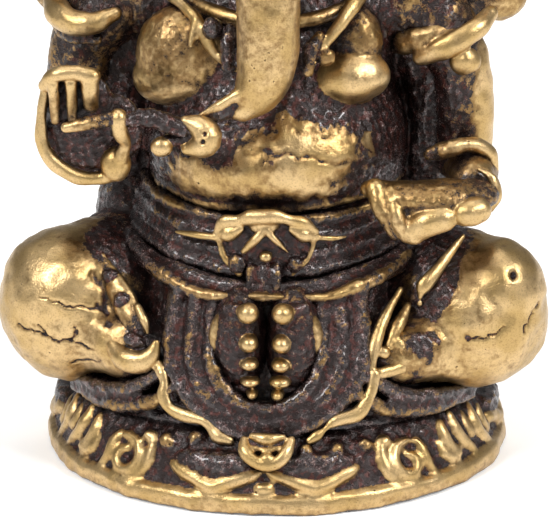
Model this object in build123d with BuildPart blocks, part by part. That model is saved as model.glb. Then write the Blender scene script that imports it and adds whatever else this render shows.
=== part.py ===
"""Seated four-armed elephant-headed idol on a round lotus plinth, cast in brass.

Millimetres. +Z is up, the idol faces -Y, and the origin is the centre of the plinth's underside.
"Right" and "left" are the idol's own, so its right side is at -X.
"""

import os

from build123d import *

os.makedirs("parts", exist_ok=True)

# Plinth
PLINTH_RADIUS = 15.2
PLINTH_HEIGHT = 4.7
RIM_HEIGHT = 1.5
SHOULDER_RADIUS = 14.4
TOP_RADIUS = 12.9
CAVITY_RADIUS = 11.8
CAVITY_TOP = 3.4
PLATE_RADIUS = 13.0
PLATE_RECESS = 0.2
PLATE_THICKNESS = 0.8
TENON_RADIUS = 2.5
TENON_GAP = 0.05
PETAL_COUNT = 16
PETAL_RADIUS = 2.0
PETAL_SWELL = 0.9
PETAL_HEIGHT = 2.6

# Seated body
LAP_TOP = 15.0
LAP_SECTIONS = (  # height, centre in Y, half width, half depth
    (PLINTH_HEIGHT, -1.2, 9.8, 9.8),
    (8.0, -0.4, 9.4, 8.2),
    (12.0, 0.0, 8.6, 7.0),
    (LAP_TOP, -0.2, 7.4, 6.2),
)
TORSO_SECTIONS = (
    (LAP_TOP, -0.2, 7.4, 6.2),
    (17.8, -0.8, 7.9, 6.9),
    (21.6, -1.2, 8.4, 7.6),
    (25.2, -0.6, 7.7, 6.6),
    (28.2, 0.0, 8.0, 6.0),
    (31.2, 0.3, 7.2, 4.8),
    (33.0, 0.4, 4.4, 3.6),
)
BREAST_CENTRE = (5.0, -3.9, 27.3)
BREAST_RADIUS = 2.7
HIP = (5.0, 1.0, 11.3)
HIP_RADIUS = 4.0
KNEE = (13.2, -3.6, 10.2)
KNEE_RADIUS = 5.0
SHIN_TOP = (12.2, -5.0, 8.6)
SHIN_TOP_RADIUS = 3.4
ANKLE = (3.6, -9.2, 8.8)
ANKLE_RADIUS = 2.4
SOLE_GAP = 0.08
FOOT_HEIGHT = 10.3
FOOT_SECTIONS = (  # place in Y, half width, half height
    (-12.3, 1.7, 2.8),
    (-11.3, 2.3, 3.5),
    (-9.5, 2.5, 3.75),
    (-7.0, 2.3, 3.4),
)
TOES = (  # offset in X, height, radius
    (1.35, 12.7, 0.85),
    (1.35, 10.95, 0.62),
    (1.25, 9.6, 0.56),
    (1.15, 8.45, 0.5),
    (1.0, 7.5, 0.42),
)
TOE_FRONT = -12.2

# Dress
HEM_WIDTH = 0.8
HEM_HEIGHT = 1.2
PENDANT_SIZE = (3.2, 0.8, 1.5)
PENDANT_CENTRE = (0.0, -11.9, 5.45)
BELT_HALF_WIDTH = 8.8
BELT_HALF_DEPTH = 8.0
BELT_CENTRE_Y = -0.9
BELT_BOTTOM = 15.8
BELT_HEIGHT = 2.6
BUCKLE_HALF_WIDTH = 2.7
BUCKLE_CENTRE_Z = 17.2
BUCKLE_HALF_HEIGHT = 1.6
BUCKLE_THICKNESS = 0.9
TAIL_SIZE = (4.0, 1.2, 2.2)
NECKLACE_RADIUS = 6.2
NECKLACE_WIRE = 0.8
NECKLACE_CENTRE = (0.0, -0.6, 31.4)
NECKLACE_TILT = 24.0

# Head
SKULL_CENTRE = (0.0, -1.4, 38.2)
SKULL_RADIUS = 5.6
CHEEK_CENTRE = (2.7, -4.6, 35.8)
CHEEK_RADIUS = 2.6
TRUNK_STATIONS = (  # centre, then radius, from the brow to the tip
    ((0.0, -5.2, 38.6), 2.4),
    ((-0.1, -7.7, 36.2), 2.25),
    ((-0.3, -8.5, 33.2), 2.05),
    ((-0.3, -8.6, 30.2), 1.85),
    ((-0.9, -8.8, 27.9), 1.6),
    ((-2.4, -9.2, 26.3), 1.25),
    ((-4.1, -9.5, 25.7), 0.95),
)
EAR_CENTRE = (8.9, -1.0, 37.4)
EAR_HALF_WIDTH = 4.2
EAR_HALF_HEIGHT = 5.8
EAR_THICKNESS = 1.2
TUSK_ROOT = (2.6, -6.4, 35.2)
TUSK_TIP = (3.9, -10.2, 34.0)
STUB_TIP = (3.2, -8.2, 34.6)
TUSK_ROOT_RADIUS = 0.75
TUSK_TIP_RADIUS = 0.35
EYE_CENTRE = (3.3, -5.7, 38.9)
EYE_RADIUS = 0.75

# Crown, turned about the skull's upright axis: height and radius up its outline
CROWN_BAND_BOTTOM = 41.6
CROWN_BAND_TOP = 43.2
CROWN_BAND_RADIUS = 5.0
CROWN_TIERS = ((4.3, 43.2), (3.9, 45.2), (3.1, 45.4), (2.7, 47.4), (2.1, 47.6), (1.6, 49.6))
FINIAL_BALL = 1.3
FINIAL_BALL_Z = 50.6
FINIAL_TOP = 54.0

# Arms
SHOULDER_FRONT = (7.9, -0.4, 30.0)
SHOULDER_REAR = (7.6, 1.9, 30.6)
RAISED_ELBOW = (-13.2, 0.9, 22.7)
RAISED_WRIST = (-12.9, -6.4, 22.4)
RAISED_PALM = ((-12.9, -8.6, 23.2), (-12.9, -8.9, 26.0))
RESTING_ELBOW = (12.7, 1.2, 19.4)
RESTING_WRIST = (12.8, -6.0, 19.2)
RESTING_PALM = ((11.6, -8.0, 19.2), (8.2, -8.2, 19.6))
REAR_ELBOW = (14.2, 2.2, 30.2)
REAR_WRIST = (15.1, 1.2, 36.6)
REAR_PALM = ((15.2, 0.0, 38.2), (15.2, -0.2, 39.8))
UPPER_ARM_RADII = (2.5, 1.9)
FOREARM_RADII = (1.8, 1.3)
REAR_UPPER_RADII = (2.3, 1.9)
PALM_RADIUS = 2.2
FIST_RADIUS = 1.7
FINGER_RADIUS = 0.55
FINGER_PITCH = 1.25
ARMLET_WIRE = 0.55
BRACELET_WIRE = 0.45

# What the hands hold
AXE_SHAFT = ((-15.2, -0.1, 33.6), (-15.2, -0.1, 46.6))
AXE_SHAFT_RADIUS = 0.45
AXE_BLADE_PLACE = (-15.2, -0.1, 44.6)
AXE_BLADE_HEIGHT = 3.4
AXE_BLADE_REACH = 2.6
AXE_BLADE_THICKNESS = 0.7
NOOSE_SHAFT = ((15.2, -0.1, 35.0), (15.2, -0.1, 42.6))
NOOSE_CENTRE = (15.2, -0.1, 44.9)
NOOSE_RADIUS = 1.9
NOOSE_WIRE = 0.45
HELD_TUSK = ((-12.9, -11.6, 25.4), (-6.6, -10.9, 25.2))
HELD_TUSK_RADII = (0.6, 0.85)
SWEET_CENTRE = (-5.2, -11.0, 24.3)
SWEET_RADIUS = 1.0


def mirrored(point, sign):
    """The same place on the idol's right (-1) or left (+1) side."""
    x, y, z = point
    return (sign * x, y, z)


def cut_away(neighbours):
    """Takes the neighbouring pieces out of the open part, so that they meet face to face."""
    for neighbour in neighbours:
        add(neighbour.part, mode=Mode.SUBTRACT)


def limb(start, end, start_radius, end_radius, neighbours=()):
    """A round-ended tapering limb, turned about the line from start to end."""
    line = Vector(*end) - Vector(*start)
    along = line.normalized()
    across = Plane(origin=start, z_dir=along).x_dir
    with BuildPart() as piece:
        with BuildSketch(Plane(origin=start, x_dir=across, z_dir=across.cross(along))):
            with BuildLine():
                start_cap = CenterArc((0, 0), start_radius, -90, 90)
                end_cap = CenterArc((0, line.length), end_radius, 0, 90)
                Line(start_cap @ 1, end_cap @ 0)
                Line(end_cap @ 1, start_cap @ 0)
            make_face()
        revolve(axis=Axis(start, along))
        cut_away(neighbours)
    return piece


def ring_round(start, end, share, radius, wire, neighbours):
    """A plain ring worn round a limb, at a share of the way from start to end."""
    line = Vector(*end) - Vector(*start)
    place = Vector(*start) + line * share
    with BuildPart() as piece:
        with Locations(Plane(origin=place, z_dir=line)):
            Torus(radius, wire)
        cut_away(neighbours)
    return piece


def fingers_on(palm_start, palm_end, palm_radius, spread, reach):
    """Four finger limbs side by side at a palm's far end: spread is across them, reach along them."""
    palm = limb(palm_start, palm_end, palm_radius, palm_radius)
    fingers = []
    for place in range(4):
        offset = Vector(*spread) * (FINGER_PITCH * (place - 1.5))
        root = Vector(*palm_end) + offset
        tip = root + Vector(*reach)
        fingers.append(limb(tuple(root), tuple(tip), FINGER_RADIUS, FINGER_RADIUS))
    with BuildPart() as hand:
        add(palm.part)
        for finger in fingers:
            add(finger.part)
    return hand


def less(piece, neighbours):
    """The piece with its neighbours taken out of it."""
    with BuildPart() as trimmed:
        add(piece.part)
        cut_away(neighbours)
    return trimmed


def keep(piece, name):
    """Labels a finished piece and writes its file."""
    piece.part.label = name
    export_step(piece.part, f"parts/{name}.step")


# --- Plinth: a hollow cast drum with a plain rim, closed from below by a plate ---
with BuildPart() as plinth:
    with BuildSketch(Plane.XZ):
        with BuildLine():
            foot = Line((0, 0), (PLINTH_RADIUS - 0.3, 0))
            bead = Spline(
                foot @ 1,
                (PLINTH_RADIUS, RIM_HEIGHT * 0.6),
                (SHOULDER_RADIUS + 0.3, RIM_HEIGHT + 0.3),
                (SHOULDER_RADIUS - 0.2, PETAL_HEIGHT),
                (TOP_RADIUS, PLINTH_HEIGHT),
            )
            top = Line(bead @ 1, (0, PLINTH_HEIGHT))
            Line(top @ 1, foot @ 0)
        make_face()
    revolve(axis=Axis.Z)
    with BuildSketch(Plane.XY):
        Circle(PLATE_RADIUS)
    extrude(amount=PLATE_RECESS + PLATE_THICKNESS, mode=Mode.SUBTRACT)
    with BuildSketch(Plane.XY):
        Circle(CAVITY_RADIUS)
    extrude(amount=CAVITY_TOP, mode=Mode.SUBTRACT)
    with BuildSketch(Plane.XY.offset(CAVITY_TOP)):
        Circle(TENON_RADIUS)
    extrude(amount=PLINTH_HEIGHT - CAVITY_TOP, mode=Mode.SUBTRACT)
keep(plinth, "plinth")

with BuildPart() as base_plate:
    with BuildSketch(Plane.XY.offset(PLATE_RECESS)):
        Circle(PLATE_RADIUS)
    extrude(amount=PLATE_THICKNESS)
keep(base_plate, "base_plate")

with BuildPart() as lotus_petals:
    with PolarLocations(SHOULDER_RADIUS - 0.35, PETAL_COUNT, start_angle=180 / PETAL_COUNT):
        with Locations((0, 0, PETAL_HEIGHT)):
            Cylinder(PETAL_RADIUS, 2 * PETAL_SWELL, rotation=(0, 90, 0))
    fillet(lotus_petals.edges().filter_by(GeomType.CIRCLE), PETAL_SWELL * 0.6)
    split(bisect_by=Plane.XY.offset(RIM_HEIGHT), keep=Keep.TOP)
    cut_away([plinth])
keep(lotus_petals, "lotus_petals")

# --- Seated body ---
with BuildPart() as dhoti_lap:
    for height, centre_y, half_width, half_depth in LAP_SECTIONS:
        with BuildSketch(Plane((0, centre_y, height))):
            Ellipse(half_width, half_depth)
    loft()
    with BuildSketch(Plane.XY.offset(CAVITY_TOP)):
        Circle(TENON_RADIUS - TENON_GAP)
    extrude(amount=PLINTH_HEIGHT - CAVITY_TOP)
keep(dhoti_lap, "dhoti_lap")

with BuildPart() as torso:
    for height, centre_y, half_width, half_depth in TORSO_SECTIONS:
        with BuildSketch(Plane((0, centre_y, height))):
            Ellipse(half_width, half_depth)
    loft()
    for sign in (-1, 1):
        with Locations(mirrored(BREAST_CENTRE, sign)):
            Sphere(BREAST_RADIUS)
keep(torso, "torso")

with BuildPart() as belt:
    with BuildSketch(Plane((0, BELT_CENTRE_Y, BELT_BOTTOM))):
        Ellipse(BELT_HALF_WIDTH, BELT_HALF_DEPTH)
    extrude(amount=BELT_HEIGHT)
    fillet(belt.edges(), BELT_HEIGHT * 0.3)
    cut_away([torso])
keep(belt, "belt")

with BuildPart() as belt_buckle:
    belt_face = (0, BELT_CENTRE_Y - BELT_HALF_DEPTH, BUCKLE_CENTRE_Z)
    belt_front = Plane(belt_face, x_dir=(1, 0, 0), z_dir=(0, -1, 0))
    with BuildSketch(belt_front):
        Ellipse(BUCKLE_HALF_WIDTH, BUCKLE_HALF_HEIGHT)
    extrude(amount=BUCKLE_THICKNESS / 2, both=True)
    cut_away([belt, torso])
keep(belt_buckle, "belt_buckle")

legs = {}
for side, sign in (("right", -1), ("left", 1)):
    seat = [dhoti_lap, torso, belt]
    thigh = limb(mirrored(HIP, sign), mirrored(KNEE, sign), HIP_RADIUS, KNEE_RADIUS, seat)
    keep(thigh, f"{side}_thigh")
    shin_ends = mirrored(SHIN_TOP, sign), mirrored(ANKLE, sign)
    shin = limb(*shin_ends, SHIN_TOP_RADIUS, ANKLE_RADIUS, [dhoti_lap, thigh])
    with BuildPart() as foot:
        for place_y, half_width, half_height in FOOT_SECTIONS:
            with BuildSketch(Plane((0, place_y, FOOT_HEIGHT), z_dir=(0, 1, 0), x_dir=(1, 0, 0))):
                Ellipse(half_width, half_height)
        loft()
        split(bisect_by=Plane(origin=(sign * SOLE_GAP, 0, 0), z_dir=(sign, 0, 0)), keep=Keep.TOP)
        cut_away([dhoti_lap])
    keep(foot, f"{side}_foot")
    shin = less(shin, [foot])
    keep(shin, f"{side}_shin")
    with BuildPart() as toes:
        for toe_x, toe_z, toe_radius in TOES:
            with Locations((sign * toe_x, TOE_FRONT, toe_z)):
                Sphere(toe_radius)
        cut_away([foot])
    keep(toes, f"{side}_toes")
    legs[side] = [thigh, shin, foot, toes]

with BuildPart() as dhoti_hem:
    height, centre_y, half_width, half_depth = LAP_SECTIONS[0]
    with BuildSketch(Plane((0, centre_y, height))):
        Ellipse(half_width + HEM_WIDTH, half_depth + HEM_WIDTH)
    extrude(amount=HEM_HEIGHT)
    fillet(dhoti_hem.edges().group_by(Axis.Z)[-1], HEM_HEIGHT * 0.4)
    cut_away([dhoti_lap, *legs["right"], *legs["left"]])
keep(dhoti_hem, "dhoti_hem")

with BuildPart() as hem_pendant:
    with Locations(PENDANT_CENTRE):
        Box(*PENDANT_SIZE)
    fillet(hem_pendant.edges().filter_by(Axis.Y), PENDANT_SIZE[2] * 0.4)
    cut_away([dhoti_hem, dhoti_lap, *legs["right"], *legs["left"]])
keep(hem_pendant, "hem_pendant")

with BuildPart() as sash_tail:
    with Locations((0, BELT_CENTRE_Y - BELT_HALF_DEPTH + 0.9, BELT_BOTTOM - TAIL_SIZE[2] / 2)):
        Box(*TAIL_SIZE)
    fillet(sash_tail.edges().filter_by(Axis.Z), TAIL_SIZE[1] * 0.4)
    cut_away([belt, belt_buckle, torso, dhoti_lap, legs["right"][2], legs["left"][2]])
keep(sash_tail, "sash_tail")

with BuildPart() as necklace:
    with Locations(Plane(origin=NECKLACE_CENTRE).rotated((NECKLACE_TILT, 0, 0))):
        Torus(NECKLACE_RADIUS, NECKLACE_WIRE)
    cut_away([torso])
keep(necklace, "necklace")

# --- Head ---
with BuildPart() as head:
    with Locations(SKULL_CENTRE):
        Sphere(SKULL_RADIUS)
    for sign in (-1, 1):
        with Locations(mirrored(CHEEK_CENTRE, sign)):
            Sphere(CHEEK_RADIUS)
    cut_away([torso, necklace])
keep(head, "head")

with BuildPart() as trunk:
    places = [Vector(*centre) for centre, _ in TRUNK_STATIONS]
    for number, (centre, radius) in enumerate(TRUNK_STATIONS):
        behind = places[max(number - 1, 0)]
        ahead = places[min(number + 1, len(places) - 1)]
        with BuildSketch(Plane(origin=centre, x_dir=(1, 0, 0), z_dir=ahead - behind)):
            Circle(radius)
    loft()
    cut_away([head, torso, necklace])
keep(trunk, "trunk")

ears = []
for side, sign in (("right", -1), ("left", 1)):
    with BuildPart() as ear:
        with BuildSketch(Plane(mirrored(EAR_CENTRE, sign), x_dir=(1, 0, 0), z_dir=(0, -1, 0))):
            Ellipse(EAR_HALF_WIDTH, EAR_HALF_HEIGHT)
        extrude(amount=EAR_THICKNESS / 2, both=True)
        fillet(ear.edges(), EAR_THICKNESS * 0.35)
        cut_away([head, torso, necklace])
    keep(ear, f"{side}_ear")
    ears.append(ear)

left_tusk = limb(TUSK_ROOT, TUSK_TIP, TUSK_ROOT_RADIUS, TUSK_TIP_RADIUS, [head, trunk])
keep(left_tusk, "left_tusk")
stub_ends = mirrored(TUSK_ROOT, -1), mirrored(STUB_TIP, -1)
right_tusk_stub = limb(*stub_ends, TUSK_ROOT_RADIUS, TUSK_ROOT_RADIUS * 0.8, [head, trunk])
keep(right_tusk_stub, "right_tusk_stub")

with BuildPart() as eyes:
    for sign in (-1, 1):
        with Locations(mirrored(EYE_CENTRE, sign)):
            Sphere(EYE_RADIUS)
    cut_away([head, trunk])
keep(eyes, "eyes")

crown_axis = Axis((0, SKULL_CENTRE[1], 0), (0, 0, 1))
crown_plane = Plane(origin=(0, SKULL_CENTRE[1], 0), x_dir=(1, 0, 0), z_dir=(0, -1, 0))
with BuildPart() as crown_band:
    with BuildSketch(Plane((0, SKULL_CENTRE[1], CROWN_BAND_BOTTOM))):
        Circle(CROWN_BAND_RADIUS)
    extrude(amount=CROWN_BAND_TOP - CROWN_BAND_BOTTOM)
    fillet(crown_band.edges(), 0.4)
    cut_away([head, *ears])
keep(crown_band, "crown_band")

with BuildPart() as crown:
    with BuildSketch(crown_plane):
        with BuildLine():
            outline = Polyline((0, CROWN_BAND_TOP), *CROWN_TIERS, (0, CROWN_TIERS[-1][1]))
            Line(outline @ 1, outline @ 0)
        make_face()
    revolve(axis=crown_axis)
    cut_away([head, crown_band])
keep(crown, "crown")

with BuildPart() as crown_finial:
    with Locations((0, SKULL_CENTRE[1], FINIAL_BALL_Z)):
        Sphere(FINIAL_BALL)
    spike = FINIAL_TOP - FINIAL_BALL_Z
    with Locations((0, SKULL_CENTRE[1], FINIAL_BALL_Z + spike / 2)):
        Cone(FINIAL_BALL * 0.7, FINIAL_BALL * 0.2, spike)
    cut_away([crown])
keep(crown_finial, "crown_finial")

# --- Arms: front pair, the right one raised and the left one at rest on the knee, then the rear pair ---
body = [torso, belt, necklace, head, *ears]
rear_arm = (SHOULDER_REAR, REAR_ELBOW, REAR_WRIST)
arms = (
    ("right_front", mirrored(SHOULDER_FRONT, -1), RAISED_ELBOW, RAISED_WRIST, UPPER_ARM_RADII),
    ("left_front", SHOULDER_FRONT, RESTING_ELBOW, RESTING_WRIST, UPPER_ARM_RADII),
    ("right_rear", *[mirrored(place, -1) for place in rear_arm], REAR_UPPER_RADII),
    ("left_rear", *rear_arm, REAR_UPPER_RADII),
)
hands = {
    "right_front": fingers_on(*RAISED_PALM, PALM_RADIUS, (1, 0, 0), (0, -0.6, 2.4)),
    "left_front": fingers_on(*RESTING_PALM, FIST_RADIUS, (0, 0.9, 0), (-1.8, 0, -0.4)),
    "right_rear": limb(*[mirrored(end, -1) for end in REAR_PALM], FIST_RADIUS, FIST_RADIUS),
    "left_rear": limb(*REAR_PALM, FIST_RADIUS, FIST_RADIUS),
}
axe_handle = limb(*AXE_SHAFT, AXE_SHAFT_RADIUS, AXE_SHAFT_RADIUS)
noose_handle = limb(*NOOSE_SHAFT, AXE_SHAFT_RADIUS, AXE_SHAFT_RADIUS)
held_tusk = limb(*HELD_TUSK, *HELD_TUSK_RADII)
shafts = [axe_handle, noose_handle, held_tusk]
made = []
for name, shoulder, elbow, wrist, radii in arms:
    neighbours = [*body, *legs["right"][:2], *legs["left"][:2], *made]
    upper = limb(shoulder, elbow, *radii, neighbours)
    hand = less(hands[name], [*body, trunk, *shafts, *legs["right"][:2], *legs["left"][:2], upper])
    forearm = limb(elbow, wrist, *FOREARM_RADII, [*neighbours, *shafts, upper, hand])
    upper_end, lower_end = radii
    arm = [upper, forearm, hand]
    near_rings = [*neighbours, *arm, *shafts]
    armlet = ring_round(shoulder, elbow, 0.55, (upper_end + lower_end) / 2, ARMLET_WIRE, near_rings)
    bracelet = ring_round(elbow, wrist, 0.85, FOREARM_RADII[1] + 0.15, BRACELET_WIRE, near_rings)
    keep(upper, f"{name}_upper_arm")
    keep(forearm, f"{name}_forearm")
    keep(hand, f"{name}_hand")
    keep(armlet, f"{name}_armlet")
    keep(bracelet, f"{name}_bracelet")
    made += [upper, forearm, hand, armlet, bracelet]

# --- What the hands hold ---
keep(axe_handle, "axe_handle")
keep(noose_handle, "noose_handle")
keep(held_tusk, "broken_tusk")

with BuildPart() as axe_blade:
    with BuildSketch(Plane(AXE_BLADE_PLACE, x_dir=(1, 0, 0), z_dir=(0, -1, 0))):
        with BuildLine():
            back = Line((0, -AXE_BLADE_HEIGHT / 3), (0, AXE_BLADE_HEIGHT / 3))
            edge = ThreePointArc(
                (-AXE_BLADE_REACH * 0.8, AXE_BLADE_HEIGHT / 2),
                (-AXE_BLADE_REACH, 0),
                (-AXE_BLADE_REACH * 0.8, -AXE_BLADE_HEIGHT / 2),
            )
            Line(back @ 1, edge @ 0)
            Line(edge @ 1, back @ 0)
        make_face()
    extrude(amount=AXE_BLADE_THICKNESS / 2, both=True)
    cut_away([axe_handle])
keep(axe_blade, "axe_blade")

with BuildPart() as noose:
    with Locations(Plane(origin=NOOSE_CENTRE, z_dir=(0, 1, 0))):
        Torus(NOOSE_RADIUS, NOOSE_WIRE)
    cut_away([noose_handle])
keep(noose, "noose")

with BuildPart() as sweet_ball:
    with Locations(SWEET_CENTRE):
        Sphere(SWEET_RADIUS)
    cut_away([held_tusk, trunk, torso])
keep(sweet_ball, "sweet_ball")
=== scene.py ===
"""A seated elephant-headed idol on a round lotus plinth, cast in brass, with rubbed high spots and dark
recesses.

Shapes are worked out in millimetres, as the founder's wax pieces: each is a grid of two parameters, or a
profile carried along a path. A group of wax pieces is then melted into one skin, as in the casting, and put
in metres. A place is (x, y, z), and rub says how bright a place is worn, from about -1 to 1.3.
The figure faces -Y. "Right" and "left" are the idol's own, so its right side is at -X.
"""

from collections import namedtuple

import bpy
import numpy as np
from bpy.props import FloatProperty, FloatVectorProperty, IntProperty, PointerProperty
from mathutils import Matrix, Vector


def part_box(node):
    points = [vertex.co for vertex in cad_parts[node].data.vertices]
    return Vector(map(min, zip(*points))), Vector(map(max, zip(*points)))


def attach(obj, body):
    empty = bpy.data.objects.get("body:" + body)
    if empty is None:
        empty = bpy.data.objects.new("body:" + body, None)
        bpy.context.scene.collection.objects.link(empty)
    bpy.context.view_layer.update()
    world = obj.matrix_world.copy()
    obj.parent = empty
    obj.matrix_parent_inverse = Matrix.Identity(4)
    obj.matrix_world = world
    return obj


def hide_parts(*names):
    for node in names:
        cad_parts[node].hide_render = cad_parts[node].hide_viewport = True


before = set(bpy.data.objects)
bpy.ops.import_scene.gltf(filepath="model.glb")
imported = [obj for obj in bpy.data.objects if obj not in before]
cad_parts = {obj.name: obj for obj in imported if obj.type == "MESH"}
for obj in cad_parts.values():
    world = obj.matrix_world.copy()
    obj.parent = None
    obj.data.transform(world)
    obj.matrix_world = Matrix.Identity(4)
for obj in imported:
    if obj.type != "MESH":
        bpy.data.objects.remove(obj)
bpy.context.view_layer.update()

bl_info = {
    "name": "Brass Idol",
    "version": (1, 0, 0),
    "blender": (4, 5, 0),
    "location": "3D View > Sidebar > Idol",
    "description": "Builds a seated cast-brass idol on a lotus plinth, piece by piece",
    "category": "Object",
}

MM = 0.001
FRONT = np.array([0.0, -1.0, 0.0])
UP = np.array([0.0, 0.0, 1.0])
BOTH_SIDES = (-1, 1)
CAST, ORNAMENT, PLATE = "cast_brass", "ornament_brass", "plate_brass"

Shell = namedtuple("Shell", "points quads tris rub")


# --- Shapes: whole arrays of points, in millimetres ---


def spline(stations, count):
    """A smooth curve through rows of numbers: the Catmull-Rom cubic of each sample's four nearest rows."""
    rows = np.asarray(stations, float)
    rows = np.vstack([2 * rows[0] - rows[1], rows, 2 * rows[-1] - rows[-2]])
    place = np.linspace(0, len(rows) - 3, count)
    first = np.minimum(place.astype(int), len(rows) - 4)
    t = (place - first)[:, None]
    a, b, c, d = rows[first], rows[first + 1], rows[first + 2], rows[first + 3]
    return 0.5 * (2 * b + (c - a) * t + (2 * a - 5 * b + 4 * c - d) * t**2 + (3 * b - a - 3 * c + d) * t**3)


def unit(vectors):
    """Each vector divided by its own length."""
    return vectors / np.maximum(np.linalg.norm(vectors, axis=-1, keepdims=True), 1e-9)


def skin(grid, rub, loop=False):
    """The closed skin of a grid of rings. A loop's last ring meets its first, and otherwise each end draws to
    a pole. Faces are turned to point outwards, by the sign of the volume they hold."""
    rows, around = grid.shape[:2]
    rub = np.broadcast_to(rub, (rows,))
    if loop:
        index = np.arange(rows * around).reshape(rows, around)
        rings = np.vstack([index, index[:1]])
        points, shade = grid.reshape(-1, 3), np.repeat(rub, around)
        tris = np.zeros((0, 3), int)
    else:
        points = np.vstack([grid.mean(axis=1)[:1], grid[1:-1].reshape(-1, 3), grid.mean(axis=1)[-1:]])
        shade = np.concatenate([rub[:1], np.repeat(rub[1:-1], around), rub[-1:]])
        rings = 1 + np.arange((rows - 2) * around).reshape(rows - 2, around)
        low, high = rings[0], rings[-1]
        tris = np.vstack([
            np.column_stack([np.zeros(around, int), np.roll(low, -1), low]),
            np.column_stack([np.full(around, len(points) - 1), high, np.roll(high, -1)]),
        ])
    here, there = rings[:-1], rings[1:]
    quads = np.stack([here, np.roll(here, -1, 1), np.roll(there, -1, 1), there], axis=-1).reshape(-1, 4)
    halves = np.vstack([quads[:, :3], quads[:, [0, 2, 3]], tris])
    first, second, third = (points[halves[:, corner]] for corner in range(3))
    if (first * np.cross(second, third)).sum() < 0:
        quads, tris = quads[:, ::-1], tris[:, ::-1]
    return Shell(points, quads, tris, shade)


# Where a tube's rounded end has its rings, in degrees from its widest.
CAP_ANGLES = (90, 70, 50, 30, 15)


def tube(points, radii, rub=0.0, flat=1.0, out=None, sides=20, loop=False, step=0.3):
    """A profile carried along a path: ellipses square to a smooth curve, of half-width r across and r times
    flat along the out direction. Rounded ends are more ellipses, shrunk by a cosine and set on by a sine."""
    points = np.asarray(points, float)
    table = np.column_stack([points, np.broadcast_to(radii, len(points)), np.broadcast_to(rub, len(points))])
    if loop:
        table = np.vstack([table, table[:1]])
    length = np.linalg.norm(np.diff(table[:, :3], axis=0), axis=1).sum()
    path = spline(table, int(np.clip(length / step, 8, 240)))
    centre, radius, rub = path[:, :3], np.maximum(path[:, 3], 0.03), path[:, 4]
    along = unit(np.gradient(centre, axis=0))
    if isinstance(out, str):
        facing = centre * (1, 1, 0)
    elif out is None:
        facing = np.eye(3)[np.abs(along).sum(axis=0).argmin()] * np.ones_like(centre)
    else:
        facing = np.asarray(out, float) * np.ones_like(centre)
    facing = unit(facing - (facing * along).sum(axis=1, keepdims=True) * along)
    across = np.cross(along, facing)
    if loop:
        centre, radius, rub = centre[:-1], radius[:-1], rub[:-1]
        facing, across = facing[:-1], across[:-1]
    else:
        dip = np.radians(CAP_ANGLES)
        back, fore = -np.sin(dip) * radius[0], np.sin(dip[::-1]) * radius[-1]
        centre = np.vstack([centre[0] + back[:, None] * along[0], centre,
                            centre[-1] + fore[:, None] * along[-1]])
        radius = np.concatenate([radius[0] * np.cos(dip), radius, radius[-1] * np.cos(dip[::-1])])
        rub, facing, across = (
            np.concatenate([np.repeat(rows[:1], len(dip), 0), rows, np.repeat(rows[-1:], len(dip), 0)])
            for rows in (rub, facing, across))
    turn = np.linspace(0, 2 * np.pi, sides, endpoint=False)[None, :, None]
    spread = radius[:, None, None]
    grid = centre[:, None] + spread * (np.cos(turn) * across[:, None] + flat * np.sin(turn) * facing[:, None])
    return skin(grid, rub, loop)


def strand(points, radii, rub):
    """A thin tube pressed a little flat against the figure's front."""
    return tube(points, radii, rub, 0.8, out=FRONT, sides=14)


def bulb(centre, radii, rub=0.0, lean=(0, 0, 0), sides=28):
    """An egg: a sphere's two angles, stretched by three radii, then leant about X, Y and Z, in degrees."""
    dip = np.linspace(-np.pi / 2, np.pi / 2, sides // 2 + 1)[:, None]
    turn = np.linspace(0, 2 * np.pi, sides, endpoint=False)[None, :]
    ball = np.stack([np.cos(dip) * np.cos(turn), np.cos(dip) * np.sin(turn), np.sin(dip) + 0 * turn], axis=-1)
    grid = ball * np.broadcast_to(radii, 3)
    for axis, angle in enumerate(np.radians(lean)):
        one, two = (axis + 1) % 3, (axis + 2) % 3
        first = grid[..., one] * np.cos(angle) - grid[..., two] * np.sin(angle)
        grid[..., two] = grid[..., one] * np.sin(angle) + grid[..., two] * np.cos(angle)
        grid[..., one] = first
    return skin(grid + np.asarray(centre, float), rub)


def girth(turn, half_width, front, back, power):
    """X and Y of a waist line at each turn: a superellipse with one depth in front and another behind."""
    x = half_width * np.sign(np.cos(turn)) * np.abs(np.cos(turn)) ** (2 / power)
    reach = np.abs(np.sin(turn)) ** (2 / power)
    return x, np.where(np.sin(turn) < 0, -front * reach, back * reach)


def loft(levels, rub, sides=96):
    """A stack of waist lines: rows of height, half-width, front depth and back depth, smoothed upwards."""
    table = spline(levels, 60)
    turn = np.linspace(0, 2 * np.pi, sides, endpoint=False)[None, :]
    x, y = girth(turn, table[:, 1:2], table[:, 2:3], table[:, 3:4], power=2.1)
    return skin(np.stack([x, y, table[:, :1] + 0 * turn], axis=-1), rub)


def hoop(height, half_width, front, back, wire, rub, sag=0.0, tilt=0.0):
    """A roll of cloth or a ring round the body: a tube along a waist line that sags in front by a squared
    sine."""
    turn = np.linspace(0, 2 * np.pi, 48, endpoint=False)
    x, y = girth(turn, half_width, front, back, power=2.0)
    z = height - sag * np.clip(-np.sin(turn), 0, 1) ** 2 + tilt * y
    return tube(np.column_stack([x, y, z]), wire, rub, out="radial", sides=14, loop=True, step=0.5)


def cuff(start, end, share, radius, wire, rub=1.0, flat=1.0):
    """A ring round a limb: a tube along a circle square to the line from start to end."""
    start, end = np.asarray(start, float), np.asarray(end, float)
    along = unit(end - start)
    across = unit(np.cross(along, UP + 0.01))
    turn = np.linspace(0, 2 * np.pi, 24, endpoint=False)[:, None]
    ring = start + (end - start) * share + radius * (np.cos(turn) * across + np.sin(turn) * np.cross(along,
                                                                                                     across))
    return tube(ring, wire, rub, flat, out=along, sides=12, loop=True, step=0.4)


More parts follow.
